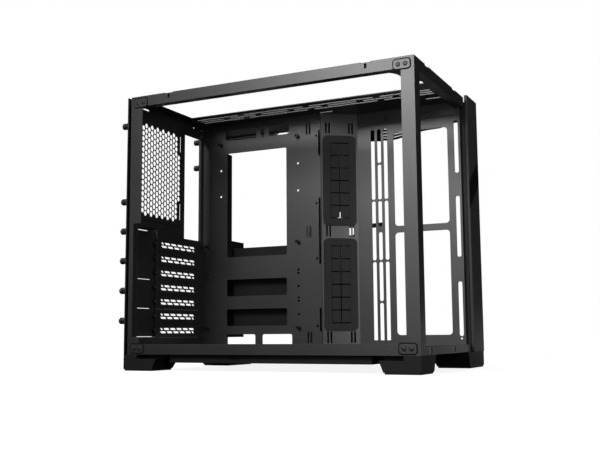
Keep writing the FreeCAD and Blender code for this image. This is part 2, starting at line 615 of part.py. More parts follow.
def corner_joints(model: Model) -> None:
    """Make the four corner joint plates and their eight screws."""
    screws = []
    for end, row, x, z in joint_places():
        plate = model.box(x, "-joint_proud", f"{z} - joint_height / 2",
                          "joint_length", "joint_proud + joint_sink", "joint_height")
        model.publish(f"{end}_{row}_joint_plate", model.rounded(plate, "y", VALUES["joint_round"]))
        for side in (-1, 1):
            screw_x = f"{x} + joint_length / 2 + {side} * joint_pitch / 2"
            screws.append(cross_head(model, screw_x, "-joint_proud", z,
                                     "joint_screw_head", "joint_screw_rise"))
    model.publish("joint_screws", model.group(*screws))


def front_frame(model: Model) -> None:
    """Make the two front beams between the window frame and the fan bracket."""
    width = "fan_plane - beam_depth"
    beam_x = "frame_depth - beam_depth"
    face_x = "frame_depth - sheet"
    top_z = "frame_top - beam_face"
    beam = model.fuse(
        model.box(face_x, "beam_depth", top_z, "sheet", width, "beam_face"),
        model.box(beam_x, "beam_depth", top_z, "beam_depth", width, "sheet"),
        model.box(beam_x, "beam_depth", "frame_top - sheet", "beam_depth", width, "sheet"),
    )
    notches = (front_notch(model, "front_notch_near"), front_notch(model, "(fan_plane - front_notch_far)"))
    model.publish("front_top_beam", model.cut(beam, *notches))
    sill = model.fuse(
        model.box(face_x, "beam_depth", "frame_bottom", "sheet", width, "front_sill_face"),
        model.box(beam_x, "beam_depth", "frame_bottom", "beam_depth", width, "sheet"),
        model.box(beam_x, "beam_depth", "frame_bottom + front_sill_face - sheet",
                  "beam_depth", width, "sheet"),
    )
    slots = [
        model.box("frame_depth - 2 * sheet", f"{y} - sill_slot_width / 2",
                  "frame_bottom + front_sill_face / 2 - sill_slot_height / 2",
                  "3 * sheet", "sill_slot_width", "sill_slot_height")
        for y in ("sill_slot_near", "(fan_plane - sill_slot_far)")
    ]
    model.publish("front_sill", model.cut(sill, *slots))


def far_frame(model: Model) -> None:
    """Make the far side's two beams and the wall behind the front bezel."""
    rear = "(sheet - lip_reach)"
    length = f"{FAN_FRONT} - sheet - {rear}"
    beam = channel(model, rear, "(frame_top - far_beam_face)", length, "far_beam_face", far=True)
    notch = model.box("far_notch_rear", "frame_width - 2 * beam_depth", "frame_top - 2 * far_beam_face",
                      "far_notch_width", "3 * beam_depth", "2 * far_beam_face - far_notch_drop")
    model.publish("far_top_beam", model.cut(beam, model.rounded(notch, "y", VALUES["far_notch_round"])))
    model.publish("far_sill", channel(model, rear, "frame_bottom", length, "far_sill_face", far=True))
    model.publish("chamber_front_wall", model.box(
        f"{FAN_FRONT} - sheet", "fan_plane + sheet", FLOOR_TOP,
        "sheet", "frame_width - fan_plane - 2 * sheet", f"{DECK_UNDER} - {FLOOR_TOP}"))


def slot_center(index: int) -> str:
    """Give the height of one expansion slot."""
    return f"(slot_first - {index} * slot_pitch)"


def rear_panel(model: Model) -> None:
    """Make the folded rear panel of both chambers with all its openings."""
    height = "frame_top - frame_bottom"
    main_width = "tray_plane - lip_width"
    far_width = "frame_width - tray_plane"
    step = "lip_reach + rear_plane"
    panel = model.fuse(
        model.box(REAR_SKIN, "lip_width - sheet", "frame_bottom",
                  "sheet", f"{main_width} + 2 * sheet", height),
        model.box(REAR_OUT, "0", "frame_bottom", "sheet", "lip_width", height),
        model.box(REAR_OUT, "lip_width - sheet", "frame_bottom", step, "sheet", height),
        model.box(REAR_OUT, "tray_plane", "frame_bottom", step, "sheet", height),
        model.box(REAR_OUT, "tray_plane", "frame_bottom", "sheet", far_width, height),
    )
    skin_x = f"rear_plane - {THROUGH}"
    skin = f"{THROUGH} + sheet"
    cuts = [
        model.box(skin_x, "port_near", "port_bottom", skin, "port_width", "port_height"),
        model.box(skin_x, "lip_width", "grille_bottom + grille_seat", skin,
                  "grille_near + grille_width - lip_width", "grille_height - 2 * grille_seat"),
        model.box(skin_x, "lip_width + sheet", "channel_bottom + sheet", skin,
                  "cover_near + cover_fit - lip_width - sheet", "channel_top - channel_bottom - 2 * sheet"),
        model.box(skin_x, "rear_slit_near", "frame_top - rear_slit_drop - rear_slit / 2", skin,
                  "rear_slit_length", "rear_slit"),
        model.box("-lip_reach - sheet", "supply_near", "supply_bottom", f"{THROUGH}",
                  "supply_width", "supply_height"),
    ]
    for index in range(SLOT_COUNT):
        cuts.append(model.box(skin_x, "cover_near + window_margin",
                              f"{slot_center(index)} - window_height / 2",
                              skin, "cover_length - 2 * window_margin", "window_height"))
    for near, drop in REAR_EYELETS:
        cuts.append(model.cylinder("-x", "rear_plane + sheet", f"tray_plane - {near}", f"frame_top - {drop}",
                                   "rear_eyelet", skin))
    model.publish("rear_panel", model.cut(panel, *cuts))


def fan_grille(model: Model) -> None:
    """Make the honeycomb grille behind the rear fan position, its last column only between the slits."""
    plate = model.box("rear_plane", "grille_near", "grille_bottom",
                      "grille_sheet", "grille_width + grille_seat", "grille_height")
    pitch = VALUES["hole_pitch"]
    step = pitch * COLUMN_STEP
    margin = 2 * VALUES["grille_rim"] + VALUES["hole_width"]
    columns = int((VALUES["grille_width"] - margin - VALUES["grille_slit"] - VALUES["grille_rim"]) / step) + 1
    rows = int((VALUES["grille_height"] - margin) / pitch) + 1
    corner = f"hole_width * {CORNERS_OVER_FLATS}"
    holes = []
    for column in range(columns + 1):
        shift = 0.5 * (column % 2)
        spare = GRILLE_WAIST if column == columns else 0
        for row in range(spare, rows - column % 2 - spare):
            y = f"grille_near + grille_rim + hole_width / 2 + {column} * hole_pitch * {COLUMN_STEP}"
            z = f"grille_bottom + grille_rim + hole_width / 2 + ({row} + {shift}) * hole_pitch"
            holes.append(model.hexagon("x", "rear_plane - grille_sheet", y, z, corner, "3 * grille_sheet"))
    slit_y = "grille_near + grille_width - grille_rim - grille_slit"
    low = "grille_bottom + grille_slit_inset"
    high = "grille_bottom + grille_height - grille_slit_inset - grille_slit_length"
    for z in (low, high):
        holes.append(model.box("rear_plane - grille_sheet", slit_y, z,
                               "3 * grille_sheet", "grille_slit", "grille_slit_length"))
    model.publish("rear_fan_grille", model.cut(plate, *holes))


def vent(model: Model, start: str, length: str, low: str):
    """Make the cutter of one slanting vent in a slot cover."""
    lean = "vent_height"
    base = (f"{start} + {lean}", f"{start} + {length} + {lean}")
    top = (start, f"{start} + {length}")
    x = ("rear_plane - grille_sheet", "rear_plane + 2 * grille_sheet")
    return model.wedge(base, top, x, (low, f"{low} + vent_height"))


def slot_covers(model: Model) -> None:
    """Make the seven vented slot covers, each with its bent screw tab, and their screws."""
    screws = []
    tab_y = "cover_near - grille_sheet"
    tab_x = "(2 * sheet - lip_reach + cover_fit)"
    for index in range(SLOT_COUNT):
        z = slot_center(index)
        plate = model.fuse(
            model.box("rear_plane", tab_y, f"{z} - cover_width / 2",
                      "grille_sheet", "cover_length + grille_sheet", "cover_width"),
            model.box(tab_x, tab_y, f"{z} - cover_width / 2 + tab_inset",
                      f"rear_plane + grille_sheet - {tab_x}", "grille_sheet", "cover_width - 2 * tab_inset"),
        )
        upper = f"({z} + vent_row_gap / 2)"
        lower = f"({z} - vent_row_gap / 2 - vent_height)"
        first = "(cover_near + vent_inset)"
        pitch = "(vent_length + vent_gap)"
        vents = [vent(model, first, "vent_short", upper)]
        for step in range(VENTS_PER_ROW):
            start = f"{first} + vent_short + vent_gap + {step} * {pitch}"
            vents.append(vent(model, start, "vent_length", upper))
            vents.append(vent(model, f"{first} + {step} * {pitch}", "vent_length", lower))
        vents.append(vent(model, f"{first} + {VENTS_PER_ROW} * {pitch}", "vent_short", lower))
        model.publish(f"slot_cover_{index + 1}", model.cut(plate, *vents))
        screw_x = f"{tab_x} + slot_screw_head / 2"
        screws.append(cross_head(model, screw_x, tab_y, z, "slot_screw_head", "slot_screw_rise"))
    model.publish("slot_screws", model.group(*screws))


def slot_channel(model: Model) -> None:
    """Make the recess beside the slots: back wall with its seams, screw ledge, floor and cap."""
    back_x = "(sheet - lip_reach)"
    width = "cover_near + sheet - lip_width"
    height = "channel_top - channel_bottom"
    depth = f"{REAR_SKIN} - {back_x}"
    walls = model.fuse(
        model.box(back_x, "lip_width", "channel_bottom", "sheet", width, height),
        model.box(back_x, "cover_near", "channel_bottom", depth, "sheet", height),
        model.box(back_x, "lip_width", "channel_bottom", depth, width, "sheet"),
        model.box(back_x, "lip_width + sheet", "channel_top - 2 * sheet",
                  f"rear_plane + channel_rim - {back_x}", "channel_cap", "sheet"),
    )
    cut_x = f"{back_x} - sheet"
    seams = [
        model.box(cut_x, "lip_width + sheet", "channel_top - 2 * sheet - channel_seam",
                  "3 * sheet", "channel_cap", "channel_seam"),
        model.box(cut_x, "lip_width + sheet", "channel_bottom + sheet",
                  "3 * sheet", "cover_near - lip_width - 2 * sheet", "channel_seam"),
    ]
    for gap in SECTION_SEAMS:
        seams.append(model.box(cut_x, "lip_width + channel_slit_near", f"slot_first - {gap} * slot_pitch",
                               "3 * sheet", "channel_slit_length", "channel_slit"))
    model.publish("slot_screw_channel", model.cut(walls, *seams))


def thumbscrews(model: Model) -> None:
    """Make the thumbscrews of the rear sections and of the power supply bracket."""
    heights = [f"thumb_first + {2 * step} * slot_pitch" for step in range(THUMB_COUNT)]
    heights.append("thumb_top")
    screws = [model.cylinder("-x", REAR_OUT, "thumb_line", z, "thumb_head", "thumb_length") for z in heights]
    far_lines = ("tray_plane + supply_screw_line", "frame_width - supply_screw_line")
    for y in far_lines:
        for z in ("supply_screw_top", "supply_screw_top - supply_screws"):
            screws.append(model.cylinder("-x", REAR_OUT, y, z, "thumb_head", "thumb_length"))
    model.publish("rear_thumbscrews", model.group(*screws))


def tie_slots(model: Model, x: str, y: str, z: str) -> list:
    """Make the cutters of one cable tie bridge: two upright slots side by side."""
    return [
        model.box(f"{x} - tie_width / 2", f"{y} - sheet", z, "tie_slot", "3 * sheet", "tie_height"),
        model.box(f"{x} + tie_width / 2 - tie_slot", f"{y} - sheet", z,
                  "tie_slot", "3 * sheet", "tie_height"),
    ]


def board_tray(model: Model) -> None:
    """Make the board tray with its cut-outs, hook slots, tie bridges and standoff holes."""
    seam = f"sheet * (fan_plane - tray_plane) / {PLATE_WIDTH}"
    plate = model.fuse(
        model.box("rear_plane", "tray_plane", FLOOR_TOP,
                  f"tray_right - {seam} - rear_plane", "sheet", f"{DECK_UNDER} - {FLOOR_TOP}"),
        model.box("cooler_rear - sheet", "tray_plane", "cooler_bottom", "sheet",
                  "sheet + cooler_fold", "cooler_height"),
    )
    cut_y = "tray_plane - sheet"
    through = "3 * sheet"
    crown_two = "cooler_rear - cut_round + crown_length + crown_gap"
    crown_three = f"{crown_two} + crown_mini + crown_gap"
    openings = (
        ("cooler_rear", "cooler_bottom", "cooler_length", "cooler_height"),
        ("cooler_rear", "pocket_upper", "cooler_length", "pocket_height"),
        ("cooler_rear", "pocket_lower", "cooler_length", "pocket_height"),
        ("cooler_rear - cut_round", "crown_bottom", "crown_length", "crown_height"),
        (crown_two, "crown_bottom", "crown_mini", "crown_height"),
        (crown_three, "crown_bottom", "crown_front", "crown_height"),
        ("cooler_rear", "base_bottom", "base_length", "base_height"),
        ("cooler_rear + base_length + base_gap", "base_bottom", "base_length", "base_height"),
    )
    tools = []
    for x, z, length, height in openings:
        block = model.box(x, cut_y, z, length, through, height)
        tools.append(model.rounded(block, "y", VALUES["cut_round"]))
    hook_x = f"(tray_right - {seam} - hook_inset - hook_slot)"
    hooks = (("hook_top", "hook_top_height"), ("hook_middle", "hook_middle_height"),
             ("hook_base", "hook_base_height"))
    for z, height in hooks:
        tools.append(model.box(hook_x, cut_y, z, "hook_slot", through, height))
    ears = ("hook_top + hook_top_height - hook_ear_inset",
            "hook_middle + hook_middle_height - hook_ear_inset",
            "hook_middle + hook_ear_inset", "hook_base + hook_ear_inset")
    for z in ears:
        tools.append(model.cylinder("-y", f"{hook_x} - hook_ear", "tray_plane + 2 * sheet", z,
                                    "hook_ear", "4 * sheet"))
    for z in ("tie_upper", "tie_middle", "tie_lower"):
        tools.extend(tie_slots(model, "(tray_right - tie_back + tie_width / 2)", "tray_plane", z))
    spares = [(x, f"board_top - {step} * slot_pitch")
              for x in ("board_rear + board_offset", "board_rear + board_span") for step in REAR_SPARES]
    spares += [("board_rear", f"board_top - board_low + {step} * slot_pitch") for step in REAR_SPARES]
    spares += [("board_rear + board_span", f"board_top - board_low + {step} * slot_pitch")
               for step in FRONT_SPARES]
    for x, z in spares:
        tools.append(model.cylinder("-y", x, "tray_plane + 2 * sheet", z, "spare_hole", "4 * sheet"))
    model.publish("board_tray", model.cut(plate, *tools))


def standoffs(model: Model) -> None:
    """Make the six board standoffs in the standard board pattern."""
    places = (
        ("board_rear + board_offset", "board_top"),
        ("board_rear", "board_top - board_mid"),
        ("board_rear", "board_top - board_low"),
        ("board_rear + board_span", "board_top"),
        ("board_rear + board_span", "board_top - board_mid"),
        ("board_rear + board_span", "board_top - board_low"),
    )
    posts = []
    for x, z in places:
        post = model.hexagon("-y", x, "tray_plane", z, "standoff_width", "standoff_height")
        bore = model.cylinder("-y", x, "tray_plane - sheet", z, "standoff_bore", "standoff_height")
        posts.append(model.cut(post, bore))
    model.publish("board_standoffs", model.group(*posts))


def cable_plate(model: Model) -> None:
    """Make the slanting cable plate and the two rubber grommets in it.

    These are drawn flat along x and then turned to run from the tray to the fan bracket.
    """
    angle = "atan2(fan_plane - tray_plane; cable_run)"
    here = {"x": "tray_right", "y": "tray_plane", "angle": angle}
    plate = model.box("0", "0", FLOOR_TOP, PLATE_WIDTH, "sheet", f"{DECK_UNDER} - {FLOOR_TOP}")
    tools = []
    open_x = "grommet_inset + grommet_overlap"
    open_length = f"{PLATE_WIDTH} - 2 * ({open_x})"
    for z in ("grommet_upper", "grommet_lower"):
        block = model.box(open_x, "-sheet", f"{z} + grommet_overlap", open_length, "3 * sheet",
                          "grommet_height - 2 * grommet_overlap")
        tools.append(model.rounded(block, "y", VALUES["grommet_round"] - VALUES["grommet_overlap"]))
    sides = ("(tie_inset + tie_width / 2)", f"({PLATE_WIDTH} - tie_inset - tie_width / 2)")
    for x in sides:
        for z in ("tie_upper", "tie_middle", "tie_lower"):
            tools.extend(tie_slots(model, x, "0", z))
    model.publish("cable_plate", model.cut(plate, *tools), **here)
    for name in ("grommet_upper", "grommet_lower"):
        flange = model.rounded(
            model.box("grommet_inset", "-grommet_rise", name, f"{PLATE_WIDTH} - 2 * grommet_inset",
                      "grommet_rise", "grommet_height"), "y", VALUES["grommet_round"])
        collar = model.rounded(
            model.box(open_x, "0", f"{name} + grommet_overlap", open_length, "grommet_rise",
                      "grommet_height - 2 * grommet_overlap"), "y",
            VALUES["grommet_round"] - VALUES["grommet_overlap"])
        inner_x = "(grommet_inset + grommet_border)"
        inner_length = f"({PLATE_WIDTH} - 2 * {inner_x})"
        inner_z = f"({name} + grommet_border)"
        inner_height = "(grommet_height - 2 * grommet_border)"
        recess = model.box(inner_x, "-grommet_rise - sheet", inner_z, inner_length,
                           "sheet + grommet_rise / 2", inner_height)
        under = model.box(inner_x, "grommet_rise / 2", inner_z, inner_length, "grommet_rise", inner_height)
        slits = [model.box(f"{inner_x} + {inner_length} / 2 - grommet_slit / 2", "-grommet_rise", inner_z,
                           "grommet_slit", "2 * grommet_rise", inner_height)]
        for row in range(FLAP_ROWS + 1):
            slits.append(model.box(inner_x, "-grommet_rise",
                                   f"{inner_z} + ({inner_height} - grommet_slit) * {row} / {FLAP_ROWS}",
                                   inner_length, "2 * grommet_rise", "grommet_slit"))
        body = model.fuse(flange, collar)
        model.publish(f"{name}_seal", model.cut(body, model.fuse(recess, under, *slits)), **here)


def fan_bracket(model: Model) -> None:
    """Make the side fan bracket with its screw slots and two large openings."""
    plate = model.box(FAN_LEFT, "fan_plane", FLOOR_TOP, f"{FAN_FRONT} - {FAN_LEFT}", "sheet",
                      f"{DECK_UNDER} - {FLOOR_TOP}")
    cut_y = "fan_plane - sheet"
    through = "3 * sheet"
    rear_line = f"({FAN_LAST} - fan_wide)"
    third_line = f"({FAN_LAST} - fan_narrow)"
    middle_line = f"(({rear_line} + {third_line}) / 2)"
    bridges = (("fan_bridge_upper", "fan_bridge"), ("fan_bridge_lower", "fan_bridge"))
    middle_bridges = (
        ("fan_mid_upper", "fan_bridge"), ("fan_bridge_upper", "fan_bridge"),
        ("fan_mid_center", "fan_mid_wide"),
        ("fan_bridge_lower", "fan_bridge"), ("fan_mid_lower", "fan_bridge"),
    )
    columns = ((rear_line, bridges), (middle_line, middle_bridges), (third_line, bridges))
    tools = []

    def slot(x: str, low: str, top: str) -> None:
        block = model.box(f"{x} - fan_slot / 2", cut_y, low, "fan_slot", through, f"{top} - ({low})")
        tools.append(model.rounded(block, "y", VALUES["fan_slot"] * SLOT_END_ROUND))

    for x, breaks in columns:
        top = "fan_slot_top"
        for level, gap in breaks:
            slot(x, f"({level} + {gap} / 2)", top)
            top = f"({level} - {gap} / 2)"
        slot(x, "fan_slot_bottom", top)
        tools.append(model.box(f"{x} - fan_slot / 2", cut_y, "fan_slot_bottom",
                               "fan_slot", through, "fan_slot"))
    slot(FAN_LAST, "fan_end_upper", "fan_slot_top")
    slot(FAN_LAST, "fan_end_middle", "(fan_end_middle + fan_end_middle_height)")
    slot(FAN_LAST, "fan_end_lower", "(fan_end_lower + fan_end_lower_height)")
    tools.append(model.cylinder("-y", FAN_LAST, "fan_plane + 2 * sheet", "fan_end_lower - fan_pin_drop",
                                "fan_pin", "4 * sheet"))
    open_x = f"{third_line} + fan_open_inset"
    open_length = "fan_narrow - 2 * fan_open_inset"
    upper = "fan_open_bottom + fan_open_lower + fan_open_bar"
    for z, tall in (("fan_open_bottom", "fan_open_lower"), (upper, "fan_open_upper")):
        block = model.box(open_x, cut_y, z, open_length, through, tall)
        tools.append(model.rounded(block, "y", VALUES["fan_open_round"]))
    model.publish("side_fan_bracket", model.cut(plate, *tools))


def top_deck(model: Model) -> None:
    """Make the top deck: a sheet round the top opening and over the far chamber, with vent rows."""
    plate = model.fuse(
        model.box("rear_plane", "beam_depth", DECK_UNDER, f"{FAN_FRONT} - rear_plane",
                  "fan_plane - beam_depth", "sheet"),
        model.box("rear_plane", "fan_plane", DECK_UNDER, f"{HOUSING_REAR} - deck_fit - rear_plane",
                  "frame_width - beam_depth - fan_plane", "sheet"),
    )
    low = f"({DECK_UNDER} - sheet)"
    bend_x = "(frame_depth - deck_front - deck_round)"
    bend_y = "(deck_side + deck_round)"
    tools = [
        model.box("deck_rear", "deck_side", low, f"{bend_x} - deck_rear", "deck_near - deck_side",
                  "3 * sheet"),
        model.box(bend_x, bend_y, low, "deck_round", f"deck_near - {bend_y}", "3 * sheet"),
        model.cylinder("z", bend_x, bend_y, low, "2 * deck_round", "3 * sheet"),
        model.box("frame_depth - deck_window_front", "deck_window_near", low,
                  "deck_window", "deck_window_width", "3 * sheet"),
    ]
    for row, (first, step, count) in enumerate(DECK_ROWS):
        y = f"(deck_near + deck_slot_row + {row} * deck_slot_rows)"
        line = model.box("deck_strip_rear", y, low, "frame_depth - deck_strip_front - deck_strip_rear",
                         "deck_slot", "3 * sheet")
        bridges = [
            model.box(f"{first} + {index * step} * deck_bridge_pitch - deck_bridge / 2", f"{y} - deck_slot",
                      f"{low} - sheet", "deck_bridge", "3 * deck_slot", "5 * sheet")
            for index in range(count)
        ]
        tools.append(model.cut(line, *bridges))
    for x in ("deck_port_rear", "(frame_depth - deck_port_front)"):
        tools.append(model.box(x, "deck_near + deck_port_far", low,
                               "deck_port", "deck_port_width", "3 * sheet"))
    model.publish("top_deck", model.cut(plate, *tools))


def cable_screen(model: Model) -> None:
    """Make the screen behind the cable plate, with two side folds and two clip holes."""
    rear = "(tray_right - screen_back)"
    line = "(fan_plane + screen_line)"
    height = f"{DECK_UNDER} - {FLOOR_TOP}"
    screen = model.fuse(
        model.box(rear, line, FLOOR_TOP, "screen_length", "sheet", height),
        model.box(rear, line, FLOOR_TOP, "sheet", "screen_fold", height),
        model.box(f"{rear} + screen_length - sheet", line, FLOOR_TOP, "sheet", "screen_fold", height),
    )
    holes = (
        model.box(f"{rear} + screen_hole_rear", f"{line} - sheet", "screen_hole_bottom",
                  "screen_hole", "3 * sheet", "screen_hole_height"),
        model.box(f"{rear} + screen_port_rear", f"{line} - sheet", "screen_port_bottom",
                  "screen_port", "3 * sheet", "screen_port_height"),
    )
    tools = [model.rounded(hole, "y", VALUES["screen_hole_round"]) for hole in holes]
    model.publish("cable_screen", model.cut(screen, *tools))


def case_floor(model: Model) -> None:
    """Make the vented floor and the dust filter that slides in below it."""
    plate = model.box("rear_plane", "sheet", "frame_bottom + sheet", f"{FAN_FRONT} - rear_plane",
                      "frame_width - 2 * sheet", "sheet")
    tools = []
    for column in range(FLOOR_VENT_COLUMNS):
        for row in range(FLOOR_VENT_ROWS):
            tools.append(model.box(
                f"floor_vent_rear + {column} * floor_vent_pitch",
                f"floor_vent_near + {row} * (floor_vent_length + floor_vent_gap)",
                "frame_bottom", "floor_vent_width", "floor_vent_length", "3 * sheet"))
    model.publish("case_floor", model.cut(plate, *tools))
    length = "(frame_depth - filter_rear - filter_front)"
    width = "(frame_width - 2 * filter_side)"
    low = "(frame_bottom - filter_drop)"
    ring = model.cut(
        model.box("filter_rear", "filter_side", low, length, width, "filter_drop"),
        model.box("filter_rear + filter_rail", "filter_side + filter_rail", f"{low} - filter_drop",
                  f"{length} - 2 * filter_rail", f"{width} - 2 * filter_rail", "3 * filter_drop"),
    )
    pull = model.box("filter_rear + filter_pull_rear - filter_pull / 2", "filter_side - filter_pull_depth",
                     f"{low} + filter_drop / 2 - filter_pull_height / 2",
                     "filter_pull", "2 * filter_pull_depth", "filter_pull_height")
    model.publish("filter_frame", model.cut(ring, model.rounded(pull, "y", VALUES["filter_pull_round"])))
    model.publish("filter_mesh", model.box(
        "filter_rear + filter_rail", "filter_side + filter_rail", f"{low} + filter_drop / 2",
        f"{length} - 2 * filter_rail", f"{width} - 2 * filter_rail", "filter_mesh"))


def drive_cage(model: Model) -> None:
    """Make the drive cage behind the tray: a wall on a cheek and a flange, with two shelves."""
    back = "tray_plane + sheet"
    wall_y = f"{back} + cage_gap"
    flange = "cage_gap + sheet"
    model.publish("drive_cage", model.fuse(
        model.box("cage_rear", wall_y, "cage_bottom", "cage_length", "sheet", "cage_height"),
        model.box("cage_rear", back, "cage_bottom - cheek_drop", "sheet", "cheek_depth",
                  "cage_height + cheek_drop + cheek_rise"),
        model.box("cage_rear + cage_length - sheet", back, "cage_bottom", "sheet", flange, "cage_height"),
        model.box("cage_rear", wall_y, "cage_bottom", "cage_length", "cage_shelf", "sheet"),
        model.box("cage_rear", wall_y, "cage_bottom + cage_height - sheet",
                  "cage_length", "cage_shelf", "sheet"),
    ))


def supply_bracket(model: Model) -> None:
    """Make the power supply bracket inside the rear wall of the far chamber."""
    x = "(sheet - lip_reach)"
    plate = model.box(x, "supply_near - supply_rim", "supply_bottom - supply_rim", "sheet",
                      "supply_width + 2 * supply_rim", "supply_height + 2 * supply_rim")
    opening = model.box(f"{x} - sheet", "supply_near", "supply_bottom", "3 * sheet",
                        "supply_width", "supply_height")
    model.publish("supply_bracket", model.cut(plate, opening))


def bezel(model: Model) -> None:
    """Make the front bezel of the far chamber and the carrier that holds it."""
    front = model.box(BEZEL_BACK, BEZEL_NEAR, "frame_bottom", "bezel_sheet", f"frame_width - {BEZEL_NEAR}",
                      "frame_top + bezel_rise - frame_bottom")
    model.publish("front_bezel", model.rounded(front, "z", VALUES["bezel_edge"]))
    width = f"(frame_width - carrier_inset - {BEZEL_NEAR})"
    depth = f"{BEZEL_BACK} - {FAN_FRONT}"
    height = f"({DECK_UNDER} - {FLOOR_TOP})"
    model.publish("bezel_carrier", model.cut(
        model.box(FAN_FRONT, BEZEL_NEAR, FLOOR_TOP, depth, width, height),
        model.box(f"{FAN_FRONT} - sheet", f"{BEZEL_NEAR} + carrier_rail", f"{FLOOR_TOP} + carrier_rail",
                  f"{depth} + 2 * sheet", f"{width} - 2 * carrier_rail", f"{height} - 2 * carrier_rail"),
    ))


def control_panel(model: Model) -> None:
    """Make the control panel: bracket, housing, board, sockets, switch and power button."""
    bracket_x = f"({FAN_FRONT} - panel_front - panel_length)"
    model.publish("control_bracket", model.box(
        bracket_x, "fan_plane - sheet", f"{DECK_UNDER} - panel_height",
        "panel_length", "sheet", "panel_height"))
    screw_z = f"{DECK_UNDER} - panel_screw_low"
    screws = [
        cross_head(model, f"{bracket_x} + panel_screw_side + {step} * panel_screw_pitch",
                   "(fan_plane - sheet)", screw_z, "panel_screw_head", "panel_screw_rise")
        for step in range(2)
    ]
    model.publish("control_screws", model.group(*screws))
    low = "frame_top - housing_height"
    shell = model.box(HOUSING_REAR, HOUSING_NEAR, low, "housing_length", "housing_width", "housing_height")
    inner_x = f"({HOUSING_REAR} + housing_wall)"
    inner_y = f"({HOUSING_NEAR} + housing_wall)"
    inner_length = "(housing_length - 2 * housing_wall)"
    inner_width = "(housing_width - 2 * housing_wall)"
    hollow = model.box(inner_x, inner_y, f"{low} - housing_wall", inner_length, inner_width, "housing_height")
    line = f"({HOUSING_NEAR} + housing_width / 2)"
    top = "frame_top - 2 * housing_wall"
    holes = []
    sockets = []
    cans = {"wide_sockets": [], "small_socket_shell": []}
    for index in range(2):
        x = f"({HOUSING_REAR} + socket_first + {index} * socket_pitch)"
        sockets.append(("wide_sockets", x, "socket_length", "socket_width"))
    sockets.append(("small_socket_shell", f"({HOUSING_REAR} + socket_first + 2 * socket_pitch)",
                    "small_socket", "small_socket_width"))
    rise = f"frame_top - {BOARD_TOP} - socket_fit"
    for name, x, length, width in sockets:
        holes.append(model.box(f"{x} - {length} / 2 - socket_fit", f"{line} - {width} / 2 - socket_fit", top,
                               f"{length} + 2 * socket_fit", f"{width} + 2 * socket_fit", "3 * housing_wall"))
        can = model.box(f"{x} - {length} / 2", f"{line} - {width} / 2", BOARD_TOP, length, width, rise)
        mouth = model.box(f"{x} - {length} / 2 + socket_wall", f"{line} - {width} / 2 + socket_wall",
                          f"{BOARD_TOP} + housing_wall", f"{length} - 2 * socket_wall",
                          f"{width} - 2 * socket_wall", rise)
        cans[name].append(model.cut(can, mouth))
    for name, shells in cans.items():
        model.publish(name, model.group(*shells))
    jack_x = f"({HOUSING_REAR} + socket_first + 3 * socket_pitch - socket_width)"
    holes.append(model.cylinder("z", jack_x, line, top, "jack_body + 2 * socket_fit", "3 * housing_wall"))
    model.publish("sound_jack", model.cut(
        model.cylinder("z", jack_x, line, BOARD_TOP, "jack_body", rise),
        model.cylinder("z", jack_x, line, f"{BOARD_TOP} + housing_wall", "jack_bore", rise),
    ))
    button_x = f"({HOUSING_REAR} + housing_length - button_front)"
    holes.append(model.cylinder("z", button_x, line, top, "button_body + 2 * button_fit", "3 * housing_wall"))
    model.publish("control_housing", model.cut(shell, model.fuse(hollow, *holes)))
    model.publish("control_board", model.box(
        inner_x, inner_y, f"{BOARD_TOP} - board_sheet", inner_length, inner_width, "board_sheet"))
    flange_z = "(frame_top - housing_wall - button_stop - button_flange)"
    model.publish("power_button", model.fuse(
        model.cylinder("z", button_x, line, flange_z, "button_body",
                       f"frame_top + button_rise - {flange_z}"),
        model.cylinder("z", button_x, line, flange_z, "button_body + 2 * button_flange", "button_flange"),
    ))
    model.publish("button_switch", model.box(
        f"{button_x} - switch_body / 2", f"{line} - switch_body / 2", BOARD_TOP, "switch_body", "switch_body",
        f"{flange_z} - {BOARD_TOP} - button_travel - button_stop"))


def tube(points: list, diameter: float):
    """Make a round lead along straight runs joined by the largest tangent arcs."""
    edges = []
    start = points[0]
    radii = []
    for before, corner, after in zip(points, points[1:], points[2:]):
        back = before - corner
        ahead = after - corner
        half = back.getAngle(ahead) / 2
        reach = ARC_SHARE * min(back.Length, ahead.Length)
        radii.append(round(reach * math.tan(half), 1))
        back.normalize()
        ahead.normalize()
        inward = back + ahead
        inward.normalize()
        middle = corner + inward * (reach / math.cos(half) - reach * math.tan(half))
        enter = corner + back * reach
        leave = corner + ahead * reach
        edges.append(Part.LineSegment(start, enter).toShape())
        edges.append(Part.Arc(enter, middle, leave).toShape())
        start = leave
    edges.append(Part.LineSegment(start, points[-1]).toShape())
    path = Part.Wire(edges)
    ring = Part.Wire(Part.Circle(points[0], points[1] - points[0], diameter / 2).toShape())
    solid = path.makePipeShell([ring], True, True)
    expected = math.pi * diameter ** 2 / 4 * path.Length
    print("lead radii", radii, "volume over section times length", round(solid.Volume / expected, 4))
    return solid


